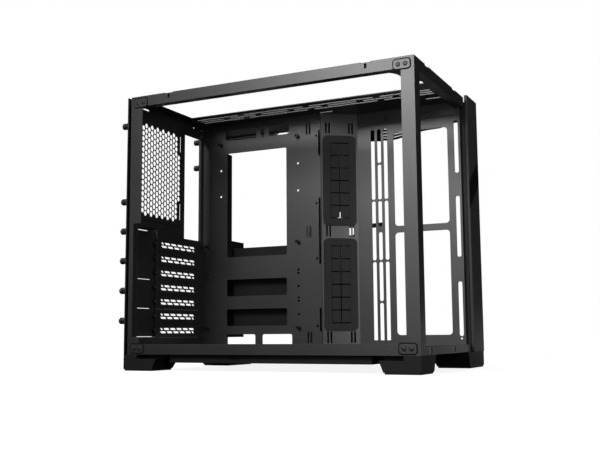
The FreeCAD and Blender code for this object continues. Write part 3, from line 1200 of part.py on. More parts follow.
def control_leads(model: Model) -> None:
    """Make the control panel's leads, which run behind the fan bracket to the upper grommet.

    A lead leaves the control board, sags along the head of the upper fan opening and turns
    towards the back of the slanting cable plate.
    """
    size = VALUES["lead_width"]
    front = VALUES["frame_depth"] - VALUES["fan_front_gap"]
    line = VALUES["fan_plane"] + VALUES["lead_line"]
    top = VALUES["frame_top"] - VALUES["board_drop"] - VALUES["board_sheet"]
    shapes = {"control_leads": [], "grey_control_lead": []}
    for order, node in enumerate(LEADS):
        step = order * VALUES["lead_pitch"]
        sag = VALUES["lead_sag"] + step
        low = top - sag
        drop = LEAD_EXIT_SHARE * (sag - LEAD_RUN[0][2])
        leave = FreeCAD.Vector(front + LEAD_EXIT + LEAD_EXIT_SPREAD * step, line, top)
        points = [leave, leave - FreeCAD.Vector(LEAD_EXIT_RUN, 0, drop)]
        exit_run = points[1] - points[0]
        tilt = math.sin(exit_run.getAngle(FreeCAD.Vector(0, 0, -1)))
        points[0].z -= size / 2 * tilt + VALUES["socket_fit"]
        points += [FreeCAD.Vector(front + x - step * spread, line + far, low + rise)
                   for x, far, rise, spread in LEAD_RUN]
        shapes[node].append(tube(points, size))
    for label, solids in shapes.items():
        lead = model.doc.addObject("Part::Feature", "Lead")
        lead.Shape = Part.makeCompound(solids)
        model.publish(label, lead)


def feet(model: Model) -> None:
    """Make the four flared feet and their rubber pads."""
    starts = {"rear": "(-foot_rear_reach)", "front": "(frame_depth - foot_length)"}
    lines = {"window": ("0", "foot_width"), "far": ("(frame_width - foot_far_width)", "foot_far_width")}
    for end, start in starts.items():
        for side, (y, width) in lines.items():
            x = f"({start} + foot_far_reach)" if (end, side) == ("front", "far") else start
            inner_x = (x, f"{x} + foot_length + foot_flare")
            if end == "front":
                inner_x = (f"{x} - foot_flare", f"{x} + foot_length")
            inner_y = (y, f"{y} + {width} + foot_flare")
            if side == "far":
                inner_y = (f"{y} - foot_flare", f"{y} + {width}")
            block = model.wedge((y, f"{y} + {width}"), inner_y, (x, f"{x} + foot_length"),
                                ("pad_height", "frame_bottom"), inner_x)
            step_x = f"{x} + foot_shoulder" if end == "rear" else f"{x} - foot_flare"
            step_y = y if side == "window" else f"{y} + {width} - foot_step_depth"
            pocket = model.box(step_x, step_y, "frame_bottom - foot_step",
                               "foot_length + foot_flare - foot_shoulder", "foot_step_depth", "2 * foot_step")
            model.publish(f"{end}_{side}_foot", model.cut(block, pocket))
            pad = model.box(f"{x} + pad_inset", f"{y} + pad_inset", "0", "foot_length - 2 * pad_inset",
                            f"{width} - 2 * pad_inset", "pad_height")
            model.publish(f"{end}_{side}_pad", model.rounded(pad, "z", VALUES["pad_round"]))


def main() -> None:
    """Build every piece of the case and write it."""
    model = Model()
    window_frame(model)
    corner_joints(model)
    front_frame(model)
    far_frame(model)
    rear_panel(model)
    fan_grille(model)
    slot_covers(model)
    slot_channel(model)
    thumbscrews(model)
    board_tray(model)
    standoffs(model)
    cable_plate(model)
    fan_bracket(model)
    top_deck(model)
    cable_screen(model)
    case_floor(model)
    drive_cage(model)
    supply_bracket(model)
    bezel(model)
    control_panel(model)
    control_leads(model)
    feet(model)
    model.write()


main()
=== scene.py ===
"""Dress the open dual-chamber computer case: finishes, turned and moulded details, studio and camera."""

import json
import logging
import math
from dataclasses import dataclass
from enum import Enum

import bmesh
import bpy
import numpy as np
from mathutils import Matrix, Vector

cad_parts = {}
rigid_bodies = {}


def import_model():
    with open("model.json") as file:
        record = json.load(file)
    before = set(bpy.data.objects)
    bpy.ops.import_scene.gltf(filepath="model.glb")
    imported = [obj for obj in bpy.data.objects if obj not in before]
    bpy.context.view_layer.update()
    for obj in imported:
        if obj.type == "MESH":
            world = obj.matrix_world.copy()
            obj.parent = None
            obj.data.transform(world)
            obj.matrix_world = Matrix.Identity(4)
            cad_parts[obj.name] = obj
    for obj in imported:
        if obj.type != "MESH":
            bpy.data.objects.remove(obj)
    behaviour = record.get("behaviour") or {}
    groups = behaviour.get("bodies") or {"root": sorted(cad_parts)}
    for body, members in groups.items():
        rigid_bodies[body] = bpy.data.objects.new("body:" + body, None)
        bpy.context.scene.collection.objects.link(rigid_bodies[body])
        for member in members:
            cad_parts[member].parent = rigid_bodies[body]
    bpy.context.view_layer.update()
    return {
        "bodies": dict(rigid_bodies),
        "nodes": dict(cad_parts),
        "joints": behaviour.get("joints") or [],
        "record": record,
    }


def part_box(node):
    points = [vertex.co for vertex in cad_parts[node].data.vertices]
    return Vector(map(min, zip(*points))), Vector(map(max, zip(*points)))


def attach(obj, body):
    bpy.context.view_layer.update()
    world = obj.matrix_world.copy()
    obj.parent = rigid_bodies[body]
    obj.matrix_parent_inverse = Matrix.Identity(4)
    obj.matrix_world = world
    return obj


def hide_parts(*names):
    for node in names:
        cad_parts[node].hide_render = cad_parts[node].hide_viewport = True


LOG = logging.getLogger("case")
MM = 0.001
SHARP_DEG = 38.0
MERGE_MM = 0.001
TURN = 2.0 * math.pi
# Shares of the cloud pattern between which the tone and the roughness run from end to end
TONE_SHARE = (0.3, 0.7)
ROUGH_SHARE = (0.25, 0.75)
# Agreement of rounded and plane normal at which the edge wear and painted highlight start and are full
WEAR_AND_HIGHLIGHT_TURN = (0.995, 0.86)
# A direction along which no straight line of the case runs
SKEW = (0.31, 0.52, 0.79)


class Body(Enum):
    """The bodies that a piece can ride on."""

    CASE = "case"
    BUTTON = "button"


class Slot(Enum):
    """The record's material slots."""

    POWDER = "powder_coat"
    PLASTIC = "black_plastic"
    RUBBER = "black_rubber"
    GREY = "grey_rubber"
    SCREW = "black_screw"
    STEEL = "bare_steel"
    BOARD = "circuit_board"
    JACK = "jack_plastic"
    FILTER = "filter_fabric"


class Facing(Enum):
    """The way that a turned piece faces: its axis, then the two directions across it."""

    REAR = ((-1, 0, 0), (0, 1, 0), (0, 0, 1))
    WINDOW = ((0, -1, 0), (1, 0, 0), (0, 0, 1))
    UP = ((0, 0, 1), (1, 0, 0), (0, 1, 0))


def linear(code: str, alpha: float = 1.0) -> tuple[float, float, float, float]:
    """Turn an sRGB hex value into a linear colour.

    Args:
        code: Six hex digits.
        alpha: Opacity of the result.

    Returns:
        Red, green, blue and alpha, linear.
    """
    parts = np.array([int(code[i:i + 2], 16) for i in (0, 2, 4)]) / 255.0
    light = np.where(parts <= 0.04045, parts / 12.92, ((parts + 0.055) / 1.055) ** 2.4)
    return (float(light[0]), float(light[1]), float(light[2]), alpha)


def add_node(tree: bpy.types.NodeTree, kind: str, inputs: dict | None = None, **settings) -> bpy.types.Node:
    """Add a node, set its options, and fill or link its sockets.

    Args:
        tree: Node tree that takes the node.
        kind: Blender's name for the node.
        inputs: Socket name or number, with a value or the output socket to link.
        **settings: Options of the node itself.

    Returns:
        The new node.
    """
    node = tree.nodes.new(kind)
    for name, value in settings.items():
        setattr(node, name, value)
    for socket, value in (inputs or {}).items():
        if isinstance(value, bpy.types.NodeSocket):
            tree.links.new(value, node.inputs[socket])
        else:
            node.inputs[socket].default_value = value
    return node


@dataclass(frozen=True)
class Finish:
    """One surface finish: two tones in clouds, a fine grain with relief, and softly rounded edges."""

    title: str
    slot: Slot
    colour: str
    tone: str
    grain_mm: float
    cloud_mm: float
    roughness: float
    spread: float
    relief_mm: float
    metallic: float = 0.0
    specular: float = 0.5
    edge_mm: float = 0.4
    # Paler edges: wear and a painted highlight together
    wear_and_highlight: float = 0.0
    wear_and_highlight_colour: str = "6a6a6c"

    def pattern(self, tree: bpy.types.NodeTree, place: bpy.types.NodeSocket) -> tuple:
        """Make the grain and the clouds.

        Args:
            tree: Node tree of the material.
            place: Object coordinates.

        Returns:
            Sockets of the grain height and of the cloud share.
        """
        grain = add_node(tree, "ShaderNodeTexNoise", {
            "Vector": place, "Scale": 1.0 / (self.grain_mm * MM), "Detail": 2.0, "Roughness": 0.5})
        cloud = add_node(tree, "ShaderNodeTexNoise", {
            "Vector": place, "Scale": 1.0 / (self.cloud_mm * MM), "Detail": 4.0, "Roughness": 0.55})
        return grain.outputs[0], cloud.outputs[0]

    def paint(self, tree: bpy.types.NodeTree, place: bpy.types.NodeSocket,
              colour: bpy.types.NodeSocket) -> bpy.types.NodeSocket:
        """Add the marks that this finish carries; a plain finish has none.

        Args:
            tree: Node tree of the material; not used by a plain finish.
            place: Object coordinates; not used by a plain finish.
            colour: Colour before the marks.

        Returns:
            The colour after them.
        """
        return colour

    def add_wear_and_highlight(self, tree: bpy.types.NodeTree, rounded: bpy.types.NodeSocket,
             colour: bpy.types.NodeSocket) -> bpy.types.NodeSocket:
        """Lighten the edges, where the rounded normal leaves the plane's own: edge wear and a painted
        highlight.

        Args:
            tree: Node tree of the material.
            rounded: Normal after the edges are rounded.
            colour: Colour of the surface before its edges are lightened.

        Returns:
            The colour with its edges lightened.
        """
        plane = add_node(tree, "ShaderNodeNewGeometry").outputs["Normal"]
        turn = add_node(tree, "ShaderNodeVectorMath", {0: rounded, 1: plane}, operation="DOT_PRODUCT")
        wear_and_highlight_share = add_node(tree, "ShaderNodeMapRange", {
            "Value": turn.outputs["Value"], "From Min": WEAR_AND_HIGHLIGHT_TURN[0], "From Max": WEAR_AND_HIGHLIGHT_TURN[1],
            "To Min": 0.0, "To Max": self.wear_and_highlight})
        mixed = add_node(tree, "ShaderNodeMix", {
            "Factor": wear_and_highlight_share.outputs[0], 6: colour, 7: linear(self.wear_and_highlight_colour)}, data_type="RGBA")
        return mixed.outputs[2]

    def material(self) -> bpy.types.Material:
        """Build the material, or return it if it is there already.

        Returns:
            The node material.
        """
        made = bpy.data.materials.get(self.title)
        if made:
            return made
        made = bpy.data.materials.new(self.title)
        made.use_nodes = True
        tree = made.node_tree
        tree.nodes.clear()
        place = add_node(tree, "ShaderNodeTexCoord").outputs["Object"]
        grain, cloud = self.pattern(tree, place)
        share = add_node(tree, "ShaderNodeMapRange", {
            "Value": cloud, "From Min": TONE_SHARE[0], "From Max": TONE_SHARE[1]})
        tint = add_node(tree, "ShaderNodeMix", {
            "Factor": share.outputs[0], 6: linear(self.colour), 7: linear(self.tone)}, data_type="RGBA")
        colour = self.paint(tree, place, tint.outputs[2])
        rounded = add_node(tree, "ShaderNodeBevel", {"Radius": self.edge_mm * MM}, samples=4).outputs[0]
        # Paler edges: wear and a painted highlight
        if self.wear_and_highlight:
            colour = self.add_wear_and_highlight(tree, rounded, colour)
        rough = add_node(tree, "ShaderNodeMapRange", {
            "Value": cloud, "From Min": ROUGH_SHARE[0], "From Max": ROUGH_SHARE[1],
            "To Min": self.roughness - self.spread, "To Max": self.roughness + self.spread})
        relief = add_node(tree, "ShaderNodeBump", {
            "Strength": 1.0, "Distance": self.relief_mm * MM, "Height": grain, "Normal": rounded})
        shader = add_node(tree, "ShaderNodeBsdfPrincipled", {
            "Base Color": colour, "Roughness": rough.outputs[0], "Normal": relief.outputs[0],
            "Metallic": self.metallic, "Specular IOR Level": self.specular})
        add_node(tree, "ShaderNodeOutputMaterial", {"Surface": shader.outputs[0]})
        return made


@dataclass(frozen=True)
class BandedFinish(Finish):
    """A moulded finish with one slanting inlaid band, as two lines across the width in millimetres."""

    near_y: float = 83.0
    far_y: float = 131.0
    near_band: tuple[float, float] = (217.0, 254.8)
    far_band: tuple[float, float] = (255.0, 290.0)
    front_x: float = 214.6
    band_colour: str = "020202"

    def line(self, tree: bpy.types.NodeTree, across: bpy.types.NodeSocket, edge: int) -> bpy.types.NodeSocket:
        """Return the height of one edge of the band at each place across the width.

        Args:
            tree: Node tree of the material.
            across: Place across the width, in metres.
            edge: 0 for the lower edge, 1 for the upper one.

        Returns:
            Socket of the height, in metres.
        """
        height = add_node(tree, "ShaderNodeMapRange", {
            "Value": across, "From Min": self.near_y * MM, "From Max": self.far_y * MM,
            "To Min": self.near_band[edge] * MM, "To Max": self.far_band[edge] * MM}, clamp=False)
        return height.outputs[0]

    def paint(self, tree: bpy.types.NodeTree, place: bpy.types.NodeSocket,
              colour: bpy.types.NodeSocket) -> bpy.types.NodeSocket:
        """Darken the band on the front face, between its two slanting edges.

        Args:
            tree: Node tree of the material.
            place: Object coordinates.
            colour: Colour before the band.

        Returns:
            The colour with the band.
        """
        part = add_node(tree, "ShaderNodeSeparateXYZ", {0: place})
        above = add_node(tree, "ShaderNodeMath", {
            0: part.outputs[2], 1: self.line(tree, part.outputs[1], 0)}, operation="GREATER_THAN")
        below = add_node(tree, "ShaderNodeMath", {
            0: part.outputs[2], 1: self.line(tree, part.outputs[1], 1)}, operation="LESS_THAN")
        front = add_node(tree, "ShaderNodeMath", {
            0: part.outputs[0], 1: self.front_x * MM}, operation="GREATER_THAN")
        both = add_node(tree, "ShaderNodeMath", {
            0: above.outputs[0], 1: below.outputs[0]}, operation="MULTIPLY")
        inside = add_node(tree, "ShaderNodeMath", {
            0: both.outputs[0], 1: front.outputs[0]}, operation="MULTIPLY")
        mixed = add_node(tree, "ShaderNodeMix", {
            "Factor": inside.outputs[0], 6: colour, 7: linear(self.band_colour)}, data_type="RGBA")
        return mixed.outputs[2]


@dataclass(frozen=True)
class WovenFinish(Finish):
    """A cloth of crossing threads, which stand up in two sets of bands."""

    def pattern(self, tree: bpy.types.NodeTree, place: bpy.types.NodeSocket) -> tuple:
        """Make the threads as the higher of two band patterns, and the clouds as the thread share: painted
        shade between the threads.

        Args:
            tree: Node tree of the material.
            place: Object coordinates.

        Returns:
            Sockets of the thread height and of the thread share.
        """
        # One wave of the band pattern is TURN / 20 units long, so the pitch is scaled by it
        scale = TURN / 20.0 / (self.grain_mm * MM)
        warp = add_node(tree, "ShaderNodeTexWave", {"Vector": place, "Scale": scale}, bands_direction="X")
        weft = add_node(tree, "ShaderNodeTexWave", {"Vector": place, "Scale": scale}, bands_direction="Y")
        thread = add_node(tree, "ShaderNodeMath", {
            0: warp.outputs[1], 1: weft.outputs[1]}, operation="MAXIMUM")
        # The tone follows the thread height: paler raised threads, painted shade between them
        return thread.outputs[0], thread.outputs[0]


# Black epoxy powder coat on pressed steel: a fine orange peel that spreads every highlight, drawn at
# 1.6 mm since its real half millimetre would not show
POWDER_COAT = Finish("black_powder_coat_on_steel", Slot.POWDER, "18181a", "1d1d1e", 1.6, 90.0, 0.38, 0.02,
                     0.04, wear_and_highlight=0.05)
# Coat of the cage behind the board, darkened to almost black: painted shade for the deep shade there
SHADED_CAGE_COAT = Finish("cage_coat_painted_shade", Slot.POWDER, "09090a", "0d0d0e", 1.6, 60.0, 0.55, 0.03, 0.03,
                  specular=0.15)
# Pale, slightly metallic line at the recess's bottom and under its cap: painted light through the narrow gaps
# there, and a painted edge highlight
GAP_LIGHT_LINE = Finish("painted_gap_light", Slot.POWDER, "a8a8aa", "b8b8ba", 0.8, 12.0, 0.42, 0.05, 0.02,
                  metallic=0.3, edge_mm=0.2)
# Pale line along folds, seams and notches of the sheet, a little paler than its faces: a painted highlight
EDGE_HIGHLIGHT = Finish("painted_edge_highlight", Slot.POWDER, "6e6e70", "7c7c7e", 0.8, 12.0, 0.45, 0.05, 0.02,
                     edge_mm=0.2)
# Painted shade round a joint plate: a near-black, unpolished coat on a thin strip where the plate meets the
# beam
JOINT_PAINTED_SHADE = Finish("painted_joint_shade", Slot.POWDER, "030303", "060606", 1.0, 10.0, 0.7, 0.05, 0.02,
                    specular=0.1, edge_mm=0.1)
# Moulded ABS with a spark-eroded grain: a soft, even black that hardly shines
MOULDED_ABS = Finish("moulded_black_abs", Slot.PLASTIC, "111112", "151516", 1.2, 70.0, 0.5, 0.04, 0.05,
                     specular=0.15)
# The bezel's ABS: satin black with one plain darker band across it
BEZEL_ABS = BandedFinish("satin_black_abs_bezel", Slot.PLASTIC, "2c2c2d", "303031", 1.2, 70.0, 0.46, 0.03,
                         0.03, specular=0.2)
# Thermoplastic rubber: matt, with a faint bloom
SOFT_RUBBER = Finish("matt_black_rubber", Slot.RUBBER, "1a1a1b", "222223", 1.8, 25.0, 0.66, 0.05, 0.06,
                     specular=0.25)
# Extruded black vinyl of the control leads: dull, with a soft line of light along it
LEAD_VINYL = Finish("black_vinyl_leads", Slot.RUBBER, "0e0e0f", "131314", 2.0, 12.0, 0.6, 0.05, 0.03,
                    specular=0.15)
# Black cloth tape wound round the leads: matt, with a visible weave
CLOTH_TAPE = WovenFinish("black_cloth_tape", Slot.RUBBER, "080808", "101011", 0.9, 12.0, 0.75, 0.03, 0.05,
                         specular=0.1)
# Extruded grey vinyl of one control lead
GREY_VINYL = Finish("grey_vinyl_lead", Slot.GREY, "6c6d70", "77787b", 2.0, 12.0, 0.5, 0.05, 0.03)
# Black-oxide steel of turned and pressed screws: dark with soft glints, its rims lightened by edge wear and
# painted highlight
BLACK_OXIDE = Finish("black_oxide_steel", Slot.SCREW, "232325", "2e2e31", 0.8, 6.0, 0.36, 0.06, 0.02,
                     metallic=0.7, edge_mm=0.2, wear_and_highlight=0.25)
# Nickel-plated pressed steel of the socket shells
NICKEL = Finish("nickel_plated_steel", Slot.STEEL, "b4b3b0", "c4c3c0", 0.9, 8.0, 0.26, 0.05, 0.02,
                metallic=1.0, edge_mm=0.15)
# Solder mask over copper: deep green-black
SOLDER_MASK = Finish("black_solder_mask", Slot.BOARD, "10231a", "183124", 1.0, 9.0, 0.38, 0.05, 0.04)
# Glass-filled nylon of the sound jack and of the tongues in the sockets
JACK_NYLON = Finish("glass_filled_nylon", Slot.JACK, "18181a", "202023", 0.9, 8.0, 0.45, 0.05, 0.04,
                    edge_mm=0.15)
# Woven nylon of the dust filter, drawn at 1.2 mm so that its threads show
FILTER_NET = WovenFinish("woven_nylon_filter", Slot.FILTER, "0c0c0d", "262628", 1.2, 30.0, 0.6, 0.05, 0.2)


def box_mm(node: str) -> np.ndarray:
    """Return a CAD node's lowest and highest corner.

    Args:
        node: Name of the node.

    Returns:
        Two rows of x, y and z in millimetres.
    """
    return np.array([tuple(corner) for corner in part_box(node)]) / MM


def quads(rows: int, columns: int, closed: bool = False) -> np.ndarray:
    """Return the four-sided faces of a grid of points that are numbered row by row.

    Args:
        rows: Number of rows.
        columns: Number of points in a row.
        closed: Whether each row runs on from its last point to its first.

    Returns:
        One row of four point numbers for each face.
    """
    index = np.arange(rows * columns).reshape(rows, columns)
    if closed:
        index = np.concatenate([index, index[:, :1]], axis=1)
    corners = [index[:-1, :-1], index[:-1, 1:], index[1:, 1:], index[1:, :-1]]
    return np.stack(corners, axis=-1).reshape(-1, 4)


def turned(along: np.ndarray, radius: np.ndarray, places: np.ndarray, facing: Facing) -> tuple:
    """Turn one profile round an axis at each of several places.

    A point is the place, plus its distance along the axis, plus its radius times the cosine and the
    sine of its angle in the two directions across the axis.

    Args:
        along: Distance along the axis for each profile row, in millimetres.
        radius: Radius for each profile row and each angle, in millimetres.
        places: Where each axis starts, in millimetres.
        facing: Direction of the axis.

    Returns:
        Points in millimetres, and faces.
    """
    axis, across, other = np.array(facing.value, dtype=float)
    rows, columns = radius.shape
    angle = np.linspace(0.0, TURN, columns, endpoint=False)
    ring = (along[:, None, None] * axis + (radius * np.cos(angle))[..., None] * across
            + (radius * np.sin(angle))[..., None] * other)
    points = np.asarray(places, dtype=float)[:, None, None, :] + ring[None]
    one = quads(rows, columns, closed=True)
    step = rows * columns * np.arange(len(places))
    return points.reshape(-1, 3), (one[None] + step[:, None, None]).reshape(-1, 4)


def beads(lines: np.ndarray, radius: float, sides: int = 8) -> tuple:
    """Carry a small round section along several straight lines, closed at both ends.

    A point is the line's start plus a share of its run, plus the radius times the cosine and the sine of
    its angle along two directions that stand square to the line and to each other.

    Args:
        lines: Start and end of each line, in millimetres.
        radius: Radius of the section, in millimetres.
        sides: Points round the section.

    Returns:
        Points in millimetres, and faces.
    """
    lines = np.asarray(lines, dtype=float)
    run = lines[:, 1] - lines[:, 0]
    along = run / np.linalg.norm(run, axis=1, keepdims=True)
    across = np.cross(along, np.array(SKEW))
    across /= np.linalg.norm(across, axis=1, keepdims=True)
    other = np.cross(along, across)
    share = np.array([0.0, 0.0, 0.5, 1.0, 1.0])
    swell = radius * np.array([0.0, 1.0, 1.0, 1.0, 0.0])
    angle = np.linspace(0.0, TURN, sides, endpoint=False)
    ring = np.cos(angle)[None, :, None] * across[:, None] + np.sin(angle)[None, :, None] * other[:, None]
    middle = lines[:, :1] + share[None, :, None] * run[:, None]
    points = middle[:, :, None] + swell[None, :, None, None] * ring[:, None]
    one = quads(len(share), sides, closed=True)
    step = len(share) * sides * np.arange(len(lines))
    return points.reshape(-1, 3), (one[None] + step[:, None, None]).reshape(-1, 4)


def add_piece(name: str, shape: tuple, finish: Finish, body: Body = Body.CASE,
              stands_for: str = "") -> bpy.types.Object:
    """Make one piece from its points and faces, give it its finish's material, tie it to its body and hide
    the node it replaces.

    Args:
        name: Name of the piece.
        shape: Points in millimetres, and faces.
        finish: Its finish.
        body: Body that it rides on.
        stands_for: CAD node that it replaces, if any.

    Returns:
        The new object.
    """
    points, faces = shape
    mesh = bpy.data.meshes.new(name)
    mesh.from_pydata((points * MM).tolist(), [], faces.tolist())
    work = bmesh.new()
    work.from_mesh(mesh)
    bmesh.ops.remove_doubles(work, verts=work.verts, dist=MERGE_MM * MM)
    bmesh.ops.recalc_face_normals(work, faces=work.faces)
    work.to_mesh(mesh)
    work.free()
    mesh.shade_smooth()
    mesh.set_sharp_from_angle(angle=math.radians(SHARP_DEG))
    mesh.materials.append(finish.material())
    piece = bpy.data.objects.new(name, mesh)
    bpy.context.scene.collection.objects.link(piece)
    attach(piece, body.value)
    if stands_for:
        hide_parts(stands_for)
    LOG.info("%s: %d faces in %s", name, len(mesh.polygons), finish.title)
    return piece


@dataclass(frozen=True)
class CrossHead:
    """The domed head of a small pressed screw with a cross recess."""

    diameter: float
    rise: float
    recess: float = 0.5
    segments: int = 48

    def shape(self, places: np.ndarray, facing: Facing) -> tuple:
        """Turn the head at each place.

        The profile climbs the rim, bends over the dome and drops into the recess. The recess swells
        and narrows with the cosine of four times the angle, which leaves its four wings.

        Args:
            places: Middle of each seat, in millimetres.
            facing: Way that the heads face.

        Returns:
            Points in millimetres, and faces.
        """
        angle = np.linspace(0.0, TURN, self.segments, endpoint=False)
        rise = self.rise * np.array([0.0, 0.0, 0.42, 0.72, 0.92, 1.0, 0.98, 0.45, 0.4])
        share = np.array([0.0, 1.0, 1.0, 0.93, 0.76, 0.6, 0.0, 0.0, 0.0])
        wings = np.array([0.0, 0.0, 0.0, 0.0, 0.0, 0.0, 1.0, 0.7, 0.0])
        cross = self.recess * (0.62 + 0.38 * np.cos(4.0 * angle))
        radius = self.diameter / 2.0 * (share[:, None] + wings[:, None] * cross[None, :])
        return turned(rise, radius, places, facing)


@dataclass
class SubAssembly:
    """A group of the case's pieces that belong together."""

    frame: dict

    def finishes(self) -> dict[Finish, tuple[str, ...]]:
        """Return the CAD nodes of the group by their finish."""
        return {}

    def build(self) -> None:
        """Make the pieces that the CAD model leaves out; a plain group has none."""

    def dress(self) -> None:
        """Give each CAD node of the group its finish."""
        for finish, names in self.finishes().items():
            for name in names:
                for holder in self.frame["nodes"][name].material_slots:
                    holder.material = finish.material()
                LOG.info("%s takes %s", name, finish.title)


@dataclass
class FrameRails(SubAssembly):
    """The beams, posts and joint plates of the open frame, and the screws of the joints."""

    head: CrossHead = CrossHead(5.8, 1.0)
    pitch: float = 9.2
    plate_round: float = 3.0
    shade_width: float = 1.5
    shade_depth: float = 0.3
    shade_proud: float = 0.05
    shade_steps: int = 32
    notch_highlight_radius: float = 0.5
    face_y: float = -133.85
    notch_y: tuple[float, float] = (-100.6, -5.2)
    notch_z: tuple[float, float] = (22.4, 31.0)

    def finishes(self) -> dict[Finish, tuple[str, ...]]:
        """Return the frame's nodes by their finish."""
        plates = self.plates()
        beams = ("window_top_beam", "window_sill", "front_top_beam", "front_sill", "far_top_beam", "far_sill")
        return {POWDER_COAT: beams + ("rear_post", "front_post") + plates, BLACK_OXIDE: ("joint_screws",)}

    def plates(self) -> tuple[str, ...]:
        """Return the names of the four joint plates."""
        return tuple(f"{end}_{level}_joint_plate" for end in ("rear", "front") for level in ("top", "bottom"))

    def painted_shade_shape(self) -> tuple:
        """Carry a flat section round each joint plate as a strip of painted shade, set into the beam's face.

        The path is the plate's outline: four quarter circles about the corner centres. The section steps
        out from the outline by the strip's width and in by its depth, and closes on itself.

        Returns:
            Points in millimetres, and faces.
        """
        boxes = np.array([box_mm(name) for name in self.plates()])
        middle = boxes.mean(axis=1)[:, None, None]
        half = (boxes[:, 1] - boxes[:, 0])[:, None, None] / 2.0 - self.plate_round
        angle = (np.arange(self.shade_steps) + 0.5) * TURN / self.shade_steps
        side = np.stack([np.sign(np.cos(angle)), np.sign(np.sin(angle))], axis=-1)
        round_way = np.stack([np.cos(angle), np.sin(angle)], axis=-1)
        out = np.array([0.0, 0.0, self.shade_width, self.shade_width, 0.0])[None, :, None]
        deep, proud = self.shade_depth, -self.shade_proud
        rise = np.array([deep, proud, proud, deep, deep])[None, :, None]
        reach = self.plate_round + out
        x = middle[..., 0] + half[..., 0] * side[:, 0] + reach * round_way[:, 0]
        z = middle[..., 2] + half[..., 2] * side[:, 1] + reach * round_way[:, 1]
        y = self.face_y + rise + np.zeros_like(x)
        points = np.stack([x, y, z], axis=-1)
        one = quads(points.shape[1], points.shape[2], closed=True)
        step = points.shape[1] * points.shape[2] * np.arange(len(points))
        return points.reshape(-1, 3), (one[None] + step[:, None, None]).reshape(-1, 4)

    def build(self) -> None:
        """Paint shade round the plates and highlights at the sill's cut notches, and set two domed screws in
        each plate.
        """
        # A near-black strip round each plate: painted shade
        add_piece("joint_plate_painted_shade", self.painted_shade_shape(), JOINT_PAINTED_SHADE)
        # Pale lines at the edges of the sill's notches: painted highlights
        front = box_mm("front_sill")[1][0]
        notches = [[(front, y, self.notch_z[0]), (front, y, self.notch_z[1])] for y in self.notch_y]
        add_piece("sill_notch_highlights", beads(np.array(notches), self.notch_highlight_radius), EDGE_HIGHLIGHT)
        low, high = box_mm("joint_screws")
        half = self.head.diameter / 2.0
        x = np.array([low[0] + half, low[0] + half + self.pitch, high[0] - half - self.pitch, high[0] - half])
        x, z = np.meshgrid(x, np.array([low[2] + half, high[2] - half]), indexing="ij")
        places = np.stack([x, np.full_like(x, high[1]), z], axis=-1).reshape(-1, 3)
        add_piece("joint_screw_heads", self.head.shape(places, Facing.WINDOW), BLACK_OXIDE,
                  stands_for="joint_screws")


